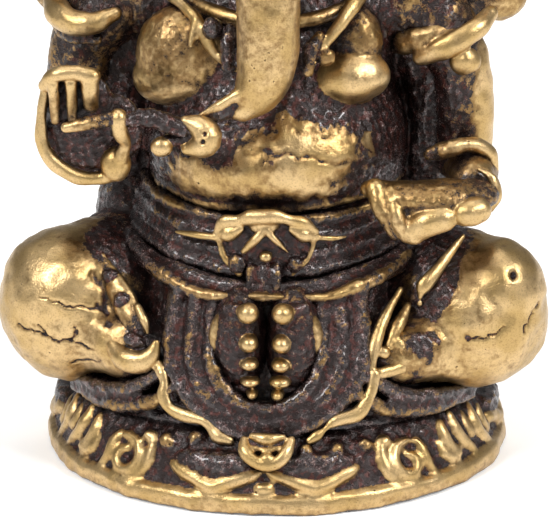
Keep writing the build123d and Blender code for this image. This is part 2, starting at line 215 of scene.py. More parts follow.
def turned(profile, rub, sides=240):
    """A profile of radius and height turned about Z: the grid is the profile's points by the turn's angle."""
    profile = np.asarray(profile, float)
    turn = np.linspace(0, 2 * np.pi, sides, endpoint=False)[None, :]
    radius, height = profile[:, :1], profile[:, 1:2]
    return skin(np.stack([radius * np.cos(turn), radius * np.sin(turn), height + 0 * turn], axis=-1), rub)


def mirror(points, sign):
    """Places given for the +X side, on the side of that sign."""
    return np.asarray(points, float) * (sign, 1, 1)


# --- Melting wax pieces into one cast skin ---

WAVES = 28  # sine waves in the unevenness
PATH_SAMPLES = 24  # stretches of a cut's line
KINK = 0.17  # how far a hair crack's kinks stray, in millimetres
CUT_REACH = np.array([1, 0.1, 1])  # a cut is measured with little regard to depth, to follow the skin
CUT_DARKENS = 5.0  # rub lost for each millimetre of a cut's depth
RUB_ROUNDS, NEAR_ROUNDS, FAR_ROUNDS = 3, 10, 50  # rounds of averaging
NEAR_CREST, FAR_CREST = 0.05, 0.35  # heights over the near and far average that count as a crest of 1, in mm


def added(name, data):
    """A new object of that data, in the scene."""
    item = bpy.data.objects.new(name, data)
    bpy.context.scene.collection.objects.link(item)
    return item


def wax_mesh(name, shells):
    """One mesh of all the shells' points and faces, with each point's rub kept as an attribute."""
    starts = np.cumsum([0] + [len(shell.points) for shell in shells[:-1]])
    points = np.vstack([shell.points for shell in shells])
    quads = np.vstack([shell.quads + start for shell, start in zip(shells, starts)])
    tris = np.vstack([shell.tris + start for shell, start in zip(shells, starts)])
    mesh = bpy.data.meshes.new(name)
    mesh.vertices.add(len(points))
    mesh.vertices.foreach_set("co", points.ravel().astype(np.float32))
    corners = np.concatenate([quads.ravel(), tris.ravel()]).astype(np.int32)
    mesh.loops.add(len(corners))
    mesh.loops.foreach_set("vertex_index", corners)
    first = np.concatenate([4 * np.arange(len(quads)), 4 * len(quads) + 3 * np.arange(len(tris))])
    mesh.polygons.add(len(first))
    mesh.polygons.foreach_set("loop_start", first.astype(np.int32))
    mesh.update(calc_edges=True)
    rub = np.concatenate([shell.rub for shell in shells]).astype(np.float32)
    mesh.attributes.new("rub", "FLOAT", "POINT").data.foreach_set("value", rub)
    return mesh


def read(items, name, width=3, kind=np.float32):
    """One property of a mesh's points, edges or attribute values as an array of rows."""
    values = np.empty(len(items) * width, kind)
    items.foreach_get(name, values)
    return values.reshape(-1, width)


def evened(values, edges, count, rounds):
    """Values averaged with their neighbours along the edges, so many times over."""
    one, two = edges[:, 0], edges[:, 1]
    links = np.bincount(one, minlength=count) + np.bincount(two, minlength=count)
    values = values.astype(float)
    for _ in range(rounds):
        total = np.stack([np.bincount(one, column[two], count) + np.bincount(two, column[one], count)
                          for column in values.T], axis=-1)
        values = 0.5 * values + 0.5 * total / np.maximum(links, 1)[:, None]
    return values


def ripples(points, size, seed):
    """Slow unevenness: a sum of sine waves in random directions, each about size long, from -1 to 1 or so."""
    dice = np.random.default_rng(seed)
    waves = unit(dice.normal(size=(WAVES, 3))) * (2 * np.pi / size) * dice.uniform(0.6, 1.5, (WAVES, 1))
    return np.sin(points @ waves.T + dice.uniform(0, 2 * np.pi, WAVES)).sum(axis=1) / np.sqrt(WAVES)


def nearness(points, path):
    """Each point's distance from a line through the path's stations."""
    path = spline(path, PATH_SAMPLES) if len(path) > 2 else path
    best = np.full(len(points), 1e9)
    for start, end in zip(path[:-1], path[1:]):
        line = end - start
        share = np.clip((points - start) @ line / max(line @ line, 1e-9), 0, 1)
        best = np.minimum(best, np.linalg.norm(points - start - share[:, None] * line, axis=1))
    return best


def crack(stations, seed, width=0.075, depth=0.14):
    """A hair crack for melt: a line through the stations, kinked sideways every half millimetre or so."""
    line = spline(stations, 4 * len(stations))
    kinks = np.random.default_rng(seed).uniform(-KINK, KINK, line.shape)
    kinks[[0, -1]] = 0
    return line + kinks, width, depth


def melt(name, shells, nodes, grain, seed, relax=3, lumps=0.05, spots=(), cuts=(), tooth=0.026, finish=CAST):
    """Melts wax shells into one cast piece that stands for its CAD nodes.

    The shells become one skin of even small faces, and its points are averaged with their neighbours. Then
    each point moves along its normal by the sum of lumps, which are slow ripples, and tooth, which is quick
    ones where it isn't rubbed, less each cut's depth times exp(-(distance / width) squared). A spot adds its
    amount of rub times exp(-r cubed), with r the distance from its centre over its radii. How far a point
    then stands out of its evened neighbourhood is kept as its crest.
    """
    piece = added(name, wax_mesh(name, shells))
    mesh = piece.data
    mesh.remesh_voxel_size = grain * 1.0
    mesh.use_remesh_preserve_attributes = True
    mesh.use_remesh_fix_poles = False
    mesh.use_remesh_preserve_volume = False
    with bpy.context.temp_override(active_object=piece, object=piece, selected_objects=[piece]):
        bpy.ops.object.voxel_remesh()
    mesh = piece.data
    count = len(mesh.vertices)
    edges = read(mesh.edges, "vertices", 2, np.int32)
    points = evened(read(mesh.vertices, "co"), edges, count, relax)
    rub = evened(read(mesh.attributes["rub"].data, "value", 1), edges, count, RUB_ROUNDS)[:, 0]

    def normals():
        mesh.vertices.foreach_set("co", points.ravel().astype(np.float32))
        mesh.update()
        return read(mesh.vertex_normals, "vector")

    normal = normals()
    for centre, radii, amount in spots:
        far = (((points - np.asarray(centre, float)) / np.broadcast_to(radii, 3)) ** 2).sum(axis=1)
        far = far * (1 + 0.35 * ripples(points, 2.4, seed + 5) + 0.2 * ripples(points, 0.9, seed + 6))
        rub = rub + amount * np.exp(-(np.maximum(far, 0) ** 1.5))
    push = lumps * (ripples(points, 5.0, seed) + 0.45 * ripples(points, 1.6, seed + 1))
    bite = 0.8 * ripples(points, 1.1, seed + 3) + ripples(points, 0.5, seed + 4)
    push = push + tooth * np.clip(1.05 - rub, 0.05, 1.1) * bite
    for path, width, depth in cuts:
        wobble = 0.2 * width * ripples(points, 0.7, seed + 2)
        away = np.maximum(nearness(points * CUT_REACH, np.asarray(path) * CUT_REACH) + wobble, 0)
        near = np.exp(-((away / width) ** 2))
        push -= depth * near
        rub = rub - CUT_DARKENS * depth * near
    points = points + push[:, None] * normal
    normal = normals()
    near_average = evened(points, edges, count, NEAR_ROUNDS)
    far_average = evened(near_average, edges, count, FAR_ROUNDS)
    crest = ((points - near_average) * normal).sum(axis=1) / NEAR_CREST
    crest = crest + ((points - far_average) * normal).sum(axis=1) / FAR_CREST
    mesh.vertices.foreach_set("co", (points * MM).ravel().astype(np.float32))
    mesh.attributes["rub"].data.foreach_set("value", rub.astype(np.float32))
    mesh.attributes.new("crest", "FLOAT", "POINT").data.foreach_set("value", crest.astype(np.float32))
    mesh.polygons.foreach_set("use_smooth", np.ones(len(mesh.polygons), bool))
    mesh.update()
    return settle(piece, nodes, finish)


def settle(piece, nodes, finish):
    """Gives a piece its finish, the body it rides on and the CAD nodes it stands for."""
    piece.data.materials.clear()
    piece.data.materials.append(brass(finish))
    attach(piece, "root")
    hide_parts(*nodes)
    return piece


# --- Finishes ---


class Wire:
    """A shader socket that takes part in sums: each operator adds its Math node."""

    def __init__(self, tree, socket):
        self.tree, self.socket = tree, socket

    def math(self, operation, *values):
        return self.tree.add("ShaderNodeMath", {"operation": operation}, dict(enumerate(values)))

    def __add__(self, other):
        return self.math("ADD", self, other)

    def __sub__(self, other):
        return self.math("SUBTRACT", self, other)

    def __rsub__(self, other):
        return self.math("SUBTRACT", other, self)

    def __mul__(self, other):
        return self.math("MULTIPLY", self, other)

    __radd__, __rmul__ = __add__, __mul__

    def above(self, low, high):
        """0 under low and 1 over high, with a smooth step between."""
        settings = {"interpolation_type": "SMOOTHSTEP"}
        links = {"Value": self, "From Min": low, "From Max": high}
        return self.tree.add("ShaderNodeMapRange", settings, links)


class Tree:
    """A material's nodes, added one at a time."""

    def __init__(self, material):
        material.use_nodes = True
        self.tree = material.node_tree
        self.tree.nodes.clear()

    def add(self, kind, settings, links, output=0):
        """Adds a node: first its settings, then a value or a link for each input. Gives one output."""
        node = self.tree.nodes.new(kind)
        for name, value in settings.items():
            setattr(node, name, value)
        for name, value in links.items():
            if isinstance(value, Wire):
                self.tree.links.new(value.socket, node.inputs[name])
            else:
                node.inputs[name].default_value = value
        return Wire(self, node.outputs[output]) if len(node.outputs) else None

    def blend(self, share, one, two):
        """One colour where share is 0 and the other where it is 1."""
        return self.add("ShaderNodeMix", {"data_type": "RGBA"}, {0: share, 6: one, 7: two}, output=2)

    def noise(self, place, scale, detail, rough=0.5):
        """Soft noise from 0 to 1, of that many lumps a metre."""
        links = {"Vector": place, "Scale": scale, "Detail": detail, "Roughness": rough}
        return self.add("ShaderNodeTexNoise", {}, links)


# Lumps a metre of the finish's three noises and of its casting pits.
BROAD, MID, FINE, PITS = 420.0, 2200.0, 9000.0, 1500.0
AIR_REACH = 1.8 * MM  # how far off a neighbour still shelters a recess from rubbing, and darkens it with painted shade
OPEN_AIR = 0.72  # how open to the air a place is that wears neither more nor less for it
TARNISH_WIDTH = 0.6  # how much more worn than bare brass a place is where its tarnish has gone
GRAIN_HEIGHT = 0.12 * MM


def brass(name):
    """Cast brass under a dark patina.

    Wear is the sum of how rubbed a place is, how far its crest stands out, how open it is to the air and some
    noise, and the patina is worn away where that passes a threshold. The patina also gets painted highlights,
    grey sheen and glints on its crests, and painted shade, near black in deep recesses. Both carry casting
    grain and pits.
    """
    finished = f"worn_{name}"
    if finished in bpy.data.materials:
        return bpy.data.materials[finished]
    look = bpy.context.scene.idol_brass
    material = bpy.data.materials.new(finished)
    tree = Tree(material)
    place = tree.add("ShaderNodeTexCoord", {}, {}, output="Object")
    rub = tree.add("ShaderNodeAttribute", {"attribute_name": "rub"}, {}, output="Fac")
    crest = tree.add("ShaderNodeAttribute", {"attribute_name": "crest"}, {}, output="Fac")
    air = tree.add("ShaderNodeAmbientOcclusion", {"samples": 6}, {"Distance": AIR_REACH}, output="AO")
    broad = tree.noise(place, BROAD, 3.0)
    mid = tree.noise(place, MID, 3.0, 0.6)
    fine = tree.noise(place, FINE, 2.0, 0.7)

    wear = rub * 0.8 + crest * 0.17 + (air - OPEN_AIR) * 0.75
    wear = wear + (broad - 0.5) * 0.7 + (mid - 0.5) * 0.75 + (fine - 0.5) * look.speckle
    if name == PLATE:
        wear = (broad - 0.5) * 0.8 + (fine - 0.5) * 0.6 + 0.55
    bright = wear.above(look.wear_from, look.wear_to)

    warm = tree.blend(broad.above(0.38, 0.66), (*look.bright, 1), (*look.golden, 1))
    bare = (wear + (mid - 0.5) * 0.9).above(look.wear_to, look.wear_to + TARNISH_WIDTH)
    metal = tree.blend((1.0 - bare) * 0.85, warm, (*look.tarnish, 1))
    metal = tree.blend(fine.above(0.5, 0.7) * 0.5, metal, (*look.tarnish, 1))

    dark = tree.blend(mid.above(0.45, 0.7), (*look.patina, 1), (*look.patina_red, 1))
    # painted highlights: a grey sheen on the patina's crests, then sparse grey glints on them
    painted_crest_sheen = crest.above(0.1, 1.3) * (mid * 0.5 + fine * 0.5).above(0.45, 0.6) * 0.22
    dark = tree.blend(painted_crest_sheen, dark, (*look.painted_glint_grey, 1))
    glint = fine.above(0.56, 0.62) * mid.above(0.5, 0.6) * crest.above(-0.2, 0.9)
    dark = tree.blend(glint * 0.85, dark, (*look.painted_glint_grey, 1))
    # painted shade: where ambient occlusion finds a deep recess, the patina is painted toward near black
    dark = tree.blend(air.above(0.2, 0.85) * 0.75 + 0.25, (*look.painted_recess_shade, 1), dark)

    cells = {"Vector": place, "Scale": PITS}
    from_pit = tree.add("ShaderNodeTexVoronoi", {"feature": "F1"}, cells, output="Distance")
    pit = (1.0 - from_pit.above(0.05, 0.15)) * mid.above(0.56, 0.62)
    height = (fine * 0.55 + mid * 0.6) * (0.8 - bright * 0.45) - pit * 1.2
    bump = {"Height": height, "Strength": 1.0, "Distance": GRAIN_HEIGHT}
    surface = tree.add("ShaderNodeBsdfPrincipled", {}, {
        "Base Color": tree.blend(pit * 0.85, tree.blend(bright, dark, metal), (*look.patina, 1)),
        "Metallic": bright * 0.6 + 0.4,
        "Roughness": bright * 0.13 + 0.23 + (fine - 0.5) * 0.3,
        "Normal": tree.add("ShaderNodeBump", {}, bump, output="Normal"),
        "Coat Weight": (1.0 - bright) * crest.above(0.0, 1.1) * 0.6,
        "Coat Roughness": 0.14,
    })
    tree.add("ShaderNodeOutputMaterial", {}, {"Surface": surface})
    return material


# --- What a user may change ---


def colour(name, description, default):
    """A colour the user may set."""
    return FloatVectorProperty(name=name, description=description, subtype="COLOR", size=3, min=0, max=1,
                               default=default)


def number(name, description, low, high, default):
    """A number the user may set, between two bounds."""
    return FloatProperty(name=name, description=description, min=low, max=high, default=default)


def measure(name, description, kind, default):
    """An angle or a distance in metres the user may set."""
    return FloatProperty(name=name, description=description, subtype=kind, default=default)


class BrassSettings(bpy.types.PropertyGroup):
    bright: colour("Rubbed brass", "Colour of the rubbed high spots", (0.66, 0.465, 0.23))
    golden: colour("Golden brass", "The rubbed brass's warmer patches", (0.50, 0.335, 0.135))
    tarnish: colour("Tarnished brass", "Brass at the edge of the patina", (0.22, 0.125, 0.048))
    patina: colour("Patina", "Colour of the dark recesses", (0.019, 0.0105, 0.0095))
    patina_red: colour("Red patina", "Redder patches of the recesses", (0.075, 0.018, 0.012))
    # painted highlight: the grey painted on the patina's ridges as sheen and glints
    painted_glint_grey: colour("Grey patina", "The patina's lightly rubbed ridges", (0.36, 0.3, 0.29))
    # painted shade: the near-black colour painted into deep recesses over the patina
    painted_recess_shade: colour("Deep patina", "The patina where hardly any air comes", (0.004, 0.002, 0.0018))
    wear_from: number("Wear begins", "How worn a place is where brass first shows", -1, 2, 0.42)
    wear_to: number("Wear ends", "How worn a place is where the patina has gone", -1, 2, 0.54)
    speckle: number("Speckle", "How broken up the patina's edge is", 0, 2, 0.6)


class PlinthSettings(bpy.types.PropertyGroup):
    radius: number("Radius", "Widest part of the rim, in millimetres", 10, 20,
                   round(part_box("plinth")[1][0] / MM, 2))
    motifs: IntProperty(name="Motifs", description="Petals and scrolls round the side", min=8, max=20,
                        default=14)
    cast_grain: number("Cast grain", "Size of the cast skin's faces, in millimetres", 0.1, 0.5, 0.175)


class BodySettings(bpy.types.PropertyGroup):
    knee_radius: number("Knee radius", "Roundness of the knees, in millimetres", 3, 6, 5.05)
    fold_wire: number("Cloth roll", "Thickness of the lap's cloth rolls, in millimetres", 0.2, 1, 0.58)
    belly_front: number("Belly", "How far the belly stands forward, in millimetres", 7, 11, 9.4)
    cast_grain: number("Cast grain", "Size of the cast skin's faces, in millimetres", 0.08, 0.5, 0.185)


class StageSettings(bpy.types.PropertyGroup):
    floor_colour: colour("Floor", "Colour of the plain floor", (0.95, 0.95, 0.95))
    azimuth: measure("Azimuth", "The camera's turn from straight in front", "ANGLE", float(np.radians(4.0)))
    elevation: measure("Elevation", "The camera's height above the horizon", "ANGLE", float(np.radians(18.2)))
    distance: measure("Distance", "From the camera to the middle of the view", "DISTANCE", 0.3)
    view_width: measure("View width", "Width of what the camera sees there", "DISTANCE", 0.0362)


# --- The pieces ---


PETAL_HALF_WIDTH = 12.0  # degrees
FIRST_MOTIF = 0.7  # degrees from the front where two petals meet


def side(angle, height, lift):
    """A place on the plinth's sloping side: degrees from the front towards +X, a height and a lift."""
    radius = np.interp(height, [0, 1.3, 2.6, 3.9, 4.6], [14.9, 14.5, 13.95, 13.4, 12.85]) + lift
    return radius * np.sin(np.radians(angle)), -radius * np.cos(np.radians(angle)), height + 0 * radius


def on_side(places, lift):
    """Places on the plinth's side from rows of angle and height."""
    places = np.asarray(places, float)
    return np.column_stack(side(places[:, 0], places[:, 1], lift))


def petal(angle):
    """A wide dark petal with a bright lower edge drawn down to a point."""
    across = np.array([-1, -0.8, -0.45, 0, 0.45, 0.8, 1]) * PETAL_HALF_WIDTH
    pad = [(angle + a, h) for a, h in zip(across * 0.92, (3.2, 3.1, 3.0, 2.95, 3.0, 3.1, 3.2))]
    edge = [(angle + a, h) for a, h in zip(across, (2.75, 2.5, 2.15, 1.72, 2.15, 2.5, 2.75))]
    return [
        tube(on_side(pad, 0.25), (0.2, 0.62, 0.85, 0.9, 0.85, 0.62, 0.2), -0.15, 0.8, out="radial"),
        tube(on_side(edge, 0.42), (0.14, 0.34, 0.42, 0.44, 0.42, 0.34, 0.14), 1.3, 0.9, out="radial",
             sides=12),
    ]


def strokes(angle, turn, rows, lift, rub):
    """Bright raised strokes on the plinth's side: rows of a line of angle and height, and its thicknesses."""
    shells = []
    for line, wires in rows:
        places = [(angle + turn * a, h) for a, h in line]
        shells.append(tube(on_side(places, lift), wires, rub, 0.9, out="radial", sides=12))
    return shells


def scroll(angle, turn):
    """A bright curl of leaf with a bead in its mouth, between a leaf and a stem."""
    curl = [(2.2, 3.7), (-1.2, 3.5), (-3.2, 2.8), (-2.2, 1.95), (1.0, 1.6), (3.6, 1.9), (3.4, 2.6),
            (1.2, 2.9)]
    leaf = [(5.2, 3.6), (6.6, 2.9), (7.4, 2.0), (9.2, 1.4)]
    stem = [(-6.2, 4.0), (-6.6, 3.0), (-5.4, 2.0), (-3.4, 1.4)]
    rows = (
        (curl, (0.3, 0.36, 0.42, 0.42, 0.4, 0.36, 0.3, 0.26)),
        (leaf, (0.25, 0.42, 0.36, 0.2)),
        (stem, (0.28, 0.4, 0.36, 0.2)),
    )
    bead = bulb(side(angle - turn * 4.6, 3.95, 0.25), 0.42, 0.9, sides=14)
    return [*strokes(angle, turn, rows, 0.25, 1.15), bead]


def leaves(angle, turn):
    """Six curved leaf strokes of different weight side by side, with a bud under the first."""
    lines = (
        ([(-13.0, 2.9), (-12.0, 2.2), (-9.5, 1.7), (-7.5, 1.45)], 0.36),
        ([(-9.8, 4.0), (-10.4, 3.2), (-8.6, 2.3), (-5.6, 2.0)], 0.46),
        ([(-4.4, 4.2), (-4.8, 3.3), (-2.4, 2.3), (0.6, 1.6)], 0.5),
        ([(1.6, 3.9), (0.9, 3.0), (2.6, 2.4), (3.0, 3.1)], 0.34),
        ([(6.6, 4.1), (5.2, 3.2), (6.2, 2.2), (9.8, 1.5)], 0.52),
        ([(11.6, 3.6), (10.2, 2.9), (11.4, 2.1), (14.0, 2.0)], 0.36),
    )
    rows = [(line, (0.5 * wire, wire, 0.85 * wire, 0.5 * wire)) for line, wire in lines]
    bud = bulb(side(angle - turn * 7.2, 1.9, 0.2), 0.42, 0.9, sides=14)
    return [*strokes(angle, turn, rows, 0.2, 1.05), bud]


class IDOL_OT_plinth(bpy.types.Operator):
    """Casts the round plinth, with a plain rim and a ring of petals and scrolls"""
    bl_idname = "idol.plinth"
    bl_label = "Plinth"

    def execute(self, context):
        sizes = context.scene.idol_plinth
        rim = sizes.radius
        profile = [(0.5, 4.7), (8.0, 4.7), (12.4, 4.68), (12.95, 4.5), (13.5, 3.9), (14.0, 2.9), (14.35, 2.0),
                   (14.55, 1.5), (14.75, 1.32), (rim - 0.14, 1.22), (rim, 0.95), (rim, 0.35),
                   (rim - 0.12, 0.06), (rim - 0.35, 0.0), (13.6, 0.0), (13.12, 0.05), (13.08, 0.3),
                   (13.08, 1.02), (0.5, 1.04)]
        heights = np.array([height for _, height in profile])
        shine = np.where((heights < 1.35) & (heights > 0.02), 1.1, -0.2)
        shells = [turned(profile, shine)]
        step = 360 / sizes.motifs
        for motif in range(sizes.motifs):
            angle = FIRST_MOTIF + step * (motif + 0.5)
            middle = (angle + 180) % 360 - 180
            turn = 1 if middle > 0 else -1
            kind = int(abs(middle) // step) % 3
            shells += petal(angle) if kind == 0 else scroll(angle, turn) if kind == 1 else leaves(angle, turn)
        shells += [bulb(side(0.9, 1.75, 0.25), (0.7, 0.3, 0.3), 1.1, sides=14)]
        for angle, height in ((-18.5, 4.3), (11.7, 3.95), (20.4, 3.9), (28.5, 3.9), (-27.0, 3.9)):
            shells.append(bulb(side(angle, height, 0.25), 0.52, 0.15, sides=16))
        melt("lotus_plinth", shells, ["plinth", "lotus_petals"], sizes.cast_grain, lumps=0.06, tooth=0.03,
             seed=3)
        return {"FINISHED"}


def lap_front(x, height):
    """How far forward the lap's cloth stands: a superellipse whose depth and width change up the height."""
    heights = [3, 4, 5, 7, 9, 11, 13, 15, 17]
    depth = np.interp(height, heights, [12.4, 12.6, 12.6, 12.3, 11.8, 11.0, 10.2, 9.4, 8.9])
    width = np.interp(height, heights, [12.5, 12.5, 12.5, 12.5, 12.5, 12.0, 11.0, 9.8, 9.0])
    return -depth * np.clip(1 - np.abs(x / width) ** 2.2, 0, 1) ** (1 / 2.2)


def cloth_u(half_width, low, high, wire, rub):
    """A roll of cloth round the feet: two upright runs joined by half an ellipse, laid on the lap's front."""
    turn = np.linspace(0, np.pi, 13)
    x = np.concatenate([[-half_width * 0.92], -half_width * np.cos(turn), [half_width * 0.92]])
    z = np.concatenate([[high], 10.0 - (10.0 - low) * np.sin(turn), [high]])
    return tube(np.column_stack([x + 0.1, lap_front(x, z) - 0.05, z]), wire, rub, 1.1, out=FRONT, sides=16)


class IDOL_OT_lap(bpy.types.Operator):
    """Casts the cloth-covered lap: rolls of cloth round the feet, under the knees and over the hips"""
    bl_idname = "idol.lap"
    bl_label = "Lap and cloth"

    def execute(self, context):
        sizes = context.scene.idol_body
        wire = sizes.fold_wire
        shells = [
            loft([(4.2, 12.2, 11.3, 10.6), (5.2, 12.2, 11.4, 10.6), (7, 11.2, 11.1, 9.8),
                  (9, 10.6, 10.6, 9.0), (11, 10.0, 9.9, 8.4), (13, 9.4, 9.2, 7.8), (15, 8.8, 8.4, 7.2),
                  (17, 8.2, 7.6, 6.8)], -0.3),
            hoop(4.75, 13.1, 11.6, 11.2, 0.55, rub=-0.2),
            hoop(5.75, 12.9, 11.3, 10.9, 0.5, rub=-0.2),
            hoop(6.7, 12.3, 10.8, 10.4, 0.45, rub=-0.2),
            hoop(15.2, 9.9, 10.0, 7.6, wire * 0.9, sag=1.6, rub=-0.1),
            hoop(14.4, 10.1, 10.4, 7.9, wire * 0.75, sag=1.35, rub=0.25),
            cloth_u(3.6, 6.35, 13.3, wire * 0.9, 0.0),
            cloth_u(4.85, 5.4, 13.4, wire, -0.05),
            cloth_u(6.15, 4.75, 13.5, wire * 1.05, -0.1),
            tube([(-9.3, -4.6, 14.9), (-7.2, -8.1, 14.2), (-4.6, -10.1, 13.4), (-2.3, -10.8, 13.3),
                  (0.1, -10.9, 13.35), (2.4, -10.8, 13.35), (4.4, -10.2, 13.4), (6.9, -8.5, 14.0),
                  (8.9, -5.8, 14.8)],
                 (0.35, 0.45, 0.36, 0.3, 0.3, 0.3, 0.36, 0.45, 0.35),
                 (-0.1, -0.1, 0.15, 0.5, 0.5, 0.5, 0.25, 0.0, -0.1), sides=16),
        ]
        for sign in BOTH_SIDES:
            shells += [
                bulb((sign * 8.0, 2.4, 15.0), (4.2, 4.6, 4.4), 0.0),
                tube(mirror([(5, 1.5, 11.6), (9.5, -1.2, 11.2), (11.8, -2.6, 10.6)], sign), (4.4, 4.7, 4.7),
                     0.2),
            ]
        shells += [
            tube(mirror([(13.6, -3.6, 5.5), (11.4, -6.9, 5.7), (8.8, -9.5, 6.5), (6.6, -10.9, 8.2)], sign),
                 (0.45, 0.6, 0.55, 0.35), -0.15, sides=16) for sign in BOTH_SIDES
        ]
        shells += [
            tube(mirror([(13.0, -4.9, 4.95), (10.4, -8.3, 5.1), (7.6, -10.6, 5.9), (6.0, -11.6, 7.2)], sign),
                 (0.4, 0.5, 0.5, 0.3), 0.0, sides=16) for sign in BOTH_SIDES
        ]
        melt("lap_cloth", shells, ["dhoti_lap"], sizes.cast_grain, lumps=0.07, seed=11)
        return {"FINISHED"}


class IDOL_OT_knees(bpy.types.Operator):
    """Casts the two smooth knees, rubbed bright, with the pits and hair cracks of the casting"""
    bl_idname = "idol.knees"
    bl_label = "Knees"

    def execute(self, context):
        sizes = context.scene.idol_body
        round_end = sizes.knee_radius
        right = [
            tube([(-8.6, -1.6, 11.4), (-11.0, -2.6, 10.9), (-13.0, -3.5, 10.15)], (4.3, 4.9, round_end),
                 (0.0, 0.7, 1.1), sides=48),
            bulb((-13.4, -3.9, 11.0), (4.4, 4.6, 4.5), 1.2, sides=48),
            tube([(-12.4, -4.2, 9.6), (-10.2, -6.3, 9.0), (-8.3, -7.9, 8.8), (-6.0, -8.8, 8.6)],
                 (3.7, 2.8, 2.2, 1.2), (1.2, 1.1, 0.7, -0.3), sides=40),
        ]
        cracks = [
            crack([(-14.8, -7.6, 12.1), (-13.7, -8.1, 11.9), (-13.1, -8.4, 11.5), (-11.9, -8.5, 11.4),
                   (-10.4, -8.2, 11.1)], 1),
            crack([(-16.3, -7.0, 9.9), (-15.5, -7.7, 9.7), (-14.4, -8.3, 9.5), (-13.9, -8.4, 9.1),
                   (-12.7, -8.5, 9.2), (-11.5, -8.3, 8.8), (-10.0, -7.8, 8.7)], 2),
            crack([(-10.0, -7.8, 8.7), (-10.9, -8.0, 8.1), (-11.9, -7.9, 7.7), (-12.8, -7.6, 7.35)], 3),
            crack([(-12.7, -8.5, 9.2), (-12.4, -8.5, 9.7), (-12.5, -8.5, 10.1)], 4),
            crack([(-14.4, -8.3, 9.5), (-14.9, -8.1, 10.1)], 5),
            ([(-11.4, -7.2, 13.4), (-10.7, -7.6, 12.5), (-10.5, -7.9, 11.2)], 0.2, 0.1),
            ([(-10.35, -6.6, 13.4), (-10.2, -6.7, 13.3)], 0.3, 0.35),
            ([(-9.4, -6.9, 12.0), (-9.3, -7.0, 11.9)], 0.34, 0.4),
            ([(-11.0, -8.1, 11.6), (-11.0, -8.1, 11.5)], 0.14, 0.16),
        ]
        melt("right_knee", right, ["right_thigh", "right_shin"], 0.12, relax=8, lumps=0.07, cuts=cracks,
             seed=21, spots=[((-8.2, -7.6, 9.4), (1.5, 1.5, 1.8), -1.0),
                             ((-10.6, -5.4, 15.0), (2.2, 2.6, 1.2), -1.3)])
        left = [
            tube([(8.6, -1.6, 11.4), (11.0, -2.6, 10.9), (13.0, -3.5, 10.2)], (4.3, 4.9, round_end),
                 (0.0, 0.7, 1.1), sides=48),
            bulb((14.6, -4.3, 12.0), (3.3, 3.5, 3.4), 1.2, sides=48),
            tube([(12.4, -4.2, 9.6), (10.2, -6.4, 9.0), (8.3, -8.0, 8.7), (6.0, -8.8, 8.5)],
                 (3.7, 2.7, 2.1, 1.2), (1.2, 1.1, 0.8, -0.3), sides=40),
            tube([(8.2, -8.2, 9.0), (10.4, -7.6, 8.4), (13.4, -6.2, 7.9)], (1.0, 1.3, 1.4), 0.9),
        ]
        cracks = [
            crack([(12.9, -8.5, 9.9), (14.0, -8.4, 10.1), (15.2, -8.0, 10.7)], 6),
            crack([(16.5, -7.2, 10.0), (17.0, -6.6, 11.1), (17.4, -5.7, 11.8)], 7),
            ([(15.7, -7.0, 13.9), (15.75, -7.0, 13.85)], 0.2, 0.35),
        ]
        melt("left_knee", left, ["left_thigh", "left_shin"], 0.12, relax=8, lumps=0.07, cuts=cracks, seed=27,
             spots=[((10.9, -6.4, 12.6), (1.5, 2.4, 1.9), -1.5), ((9.8, -8.0, 9.3), (1.1, 2.0, 1.5), -1.5),
                    ((10.9, -4.0, 15.0), (2.2, 3.0, 1.4), -1.3)])
        return {"FINISHED"}


class IDOL_OT_feet(bpy.types.Operator):
    """Casts the two feet, sole to sole, with a column of five toes on each"""
    bl_idname = "idol.feet"
    bl_label = "Feet"

    def execute(self, context):
        toes = ((1.1, 12.75, 0.72, 0.7), (1.02, 10.75, 0.62, 0.58), (1.0, 9.35, 0.62, 0.42),
                (0.95, 8.2, 0.7, 0.36), (0.8, 7.35, 0.42, 0.36))
        for name, sign in zip(("right", "left"), BOTH_SIDES):
            shells = [
                bulb((sign * 1.75 + 0.1, -10.3, 10.25), (1.85, 2.2, 3.7), 0.12),
                tube([(sign * 2.5 + 0.1, -11.0, 12.5), (sign * 2.95 + 0.1, -11.1, 11.4),
                      (sign * 3.0 + 0.1, -11.1, 10.2), (sign * 2.5 + 0.1, -11.2, 8.6)],
                     (0.35, 0.62, 0.62, 0.4), 0.85),
            ]
            for across, height, width, tall in toes:
                shells.append(bulb((sign * across + 0.12, -12.35, height), (width, 0.8, tall), 1.25,
                                   sides=20))
                shells.append(tube([(sign * across + 0.12, -12.1, height),
                                    (sign * 2.4 + 0.1, -11.5, height + 0.1)],
                                   (width * 0.7, width * 0.5), -0.1, sides=12))
            melt(f"{name}_foot_and_toes", shells, [f"{name}_foot", f"{name}_toes"], 0.09, relax=4, lumps=0.03,
                 seed=31 + sign)
        return {"FINISHED"}


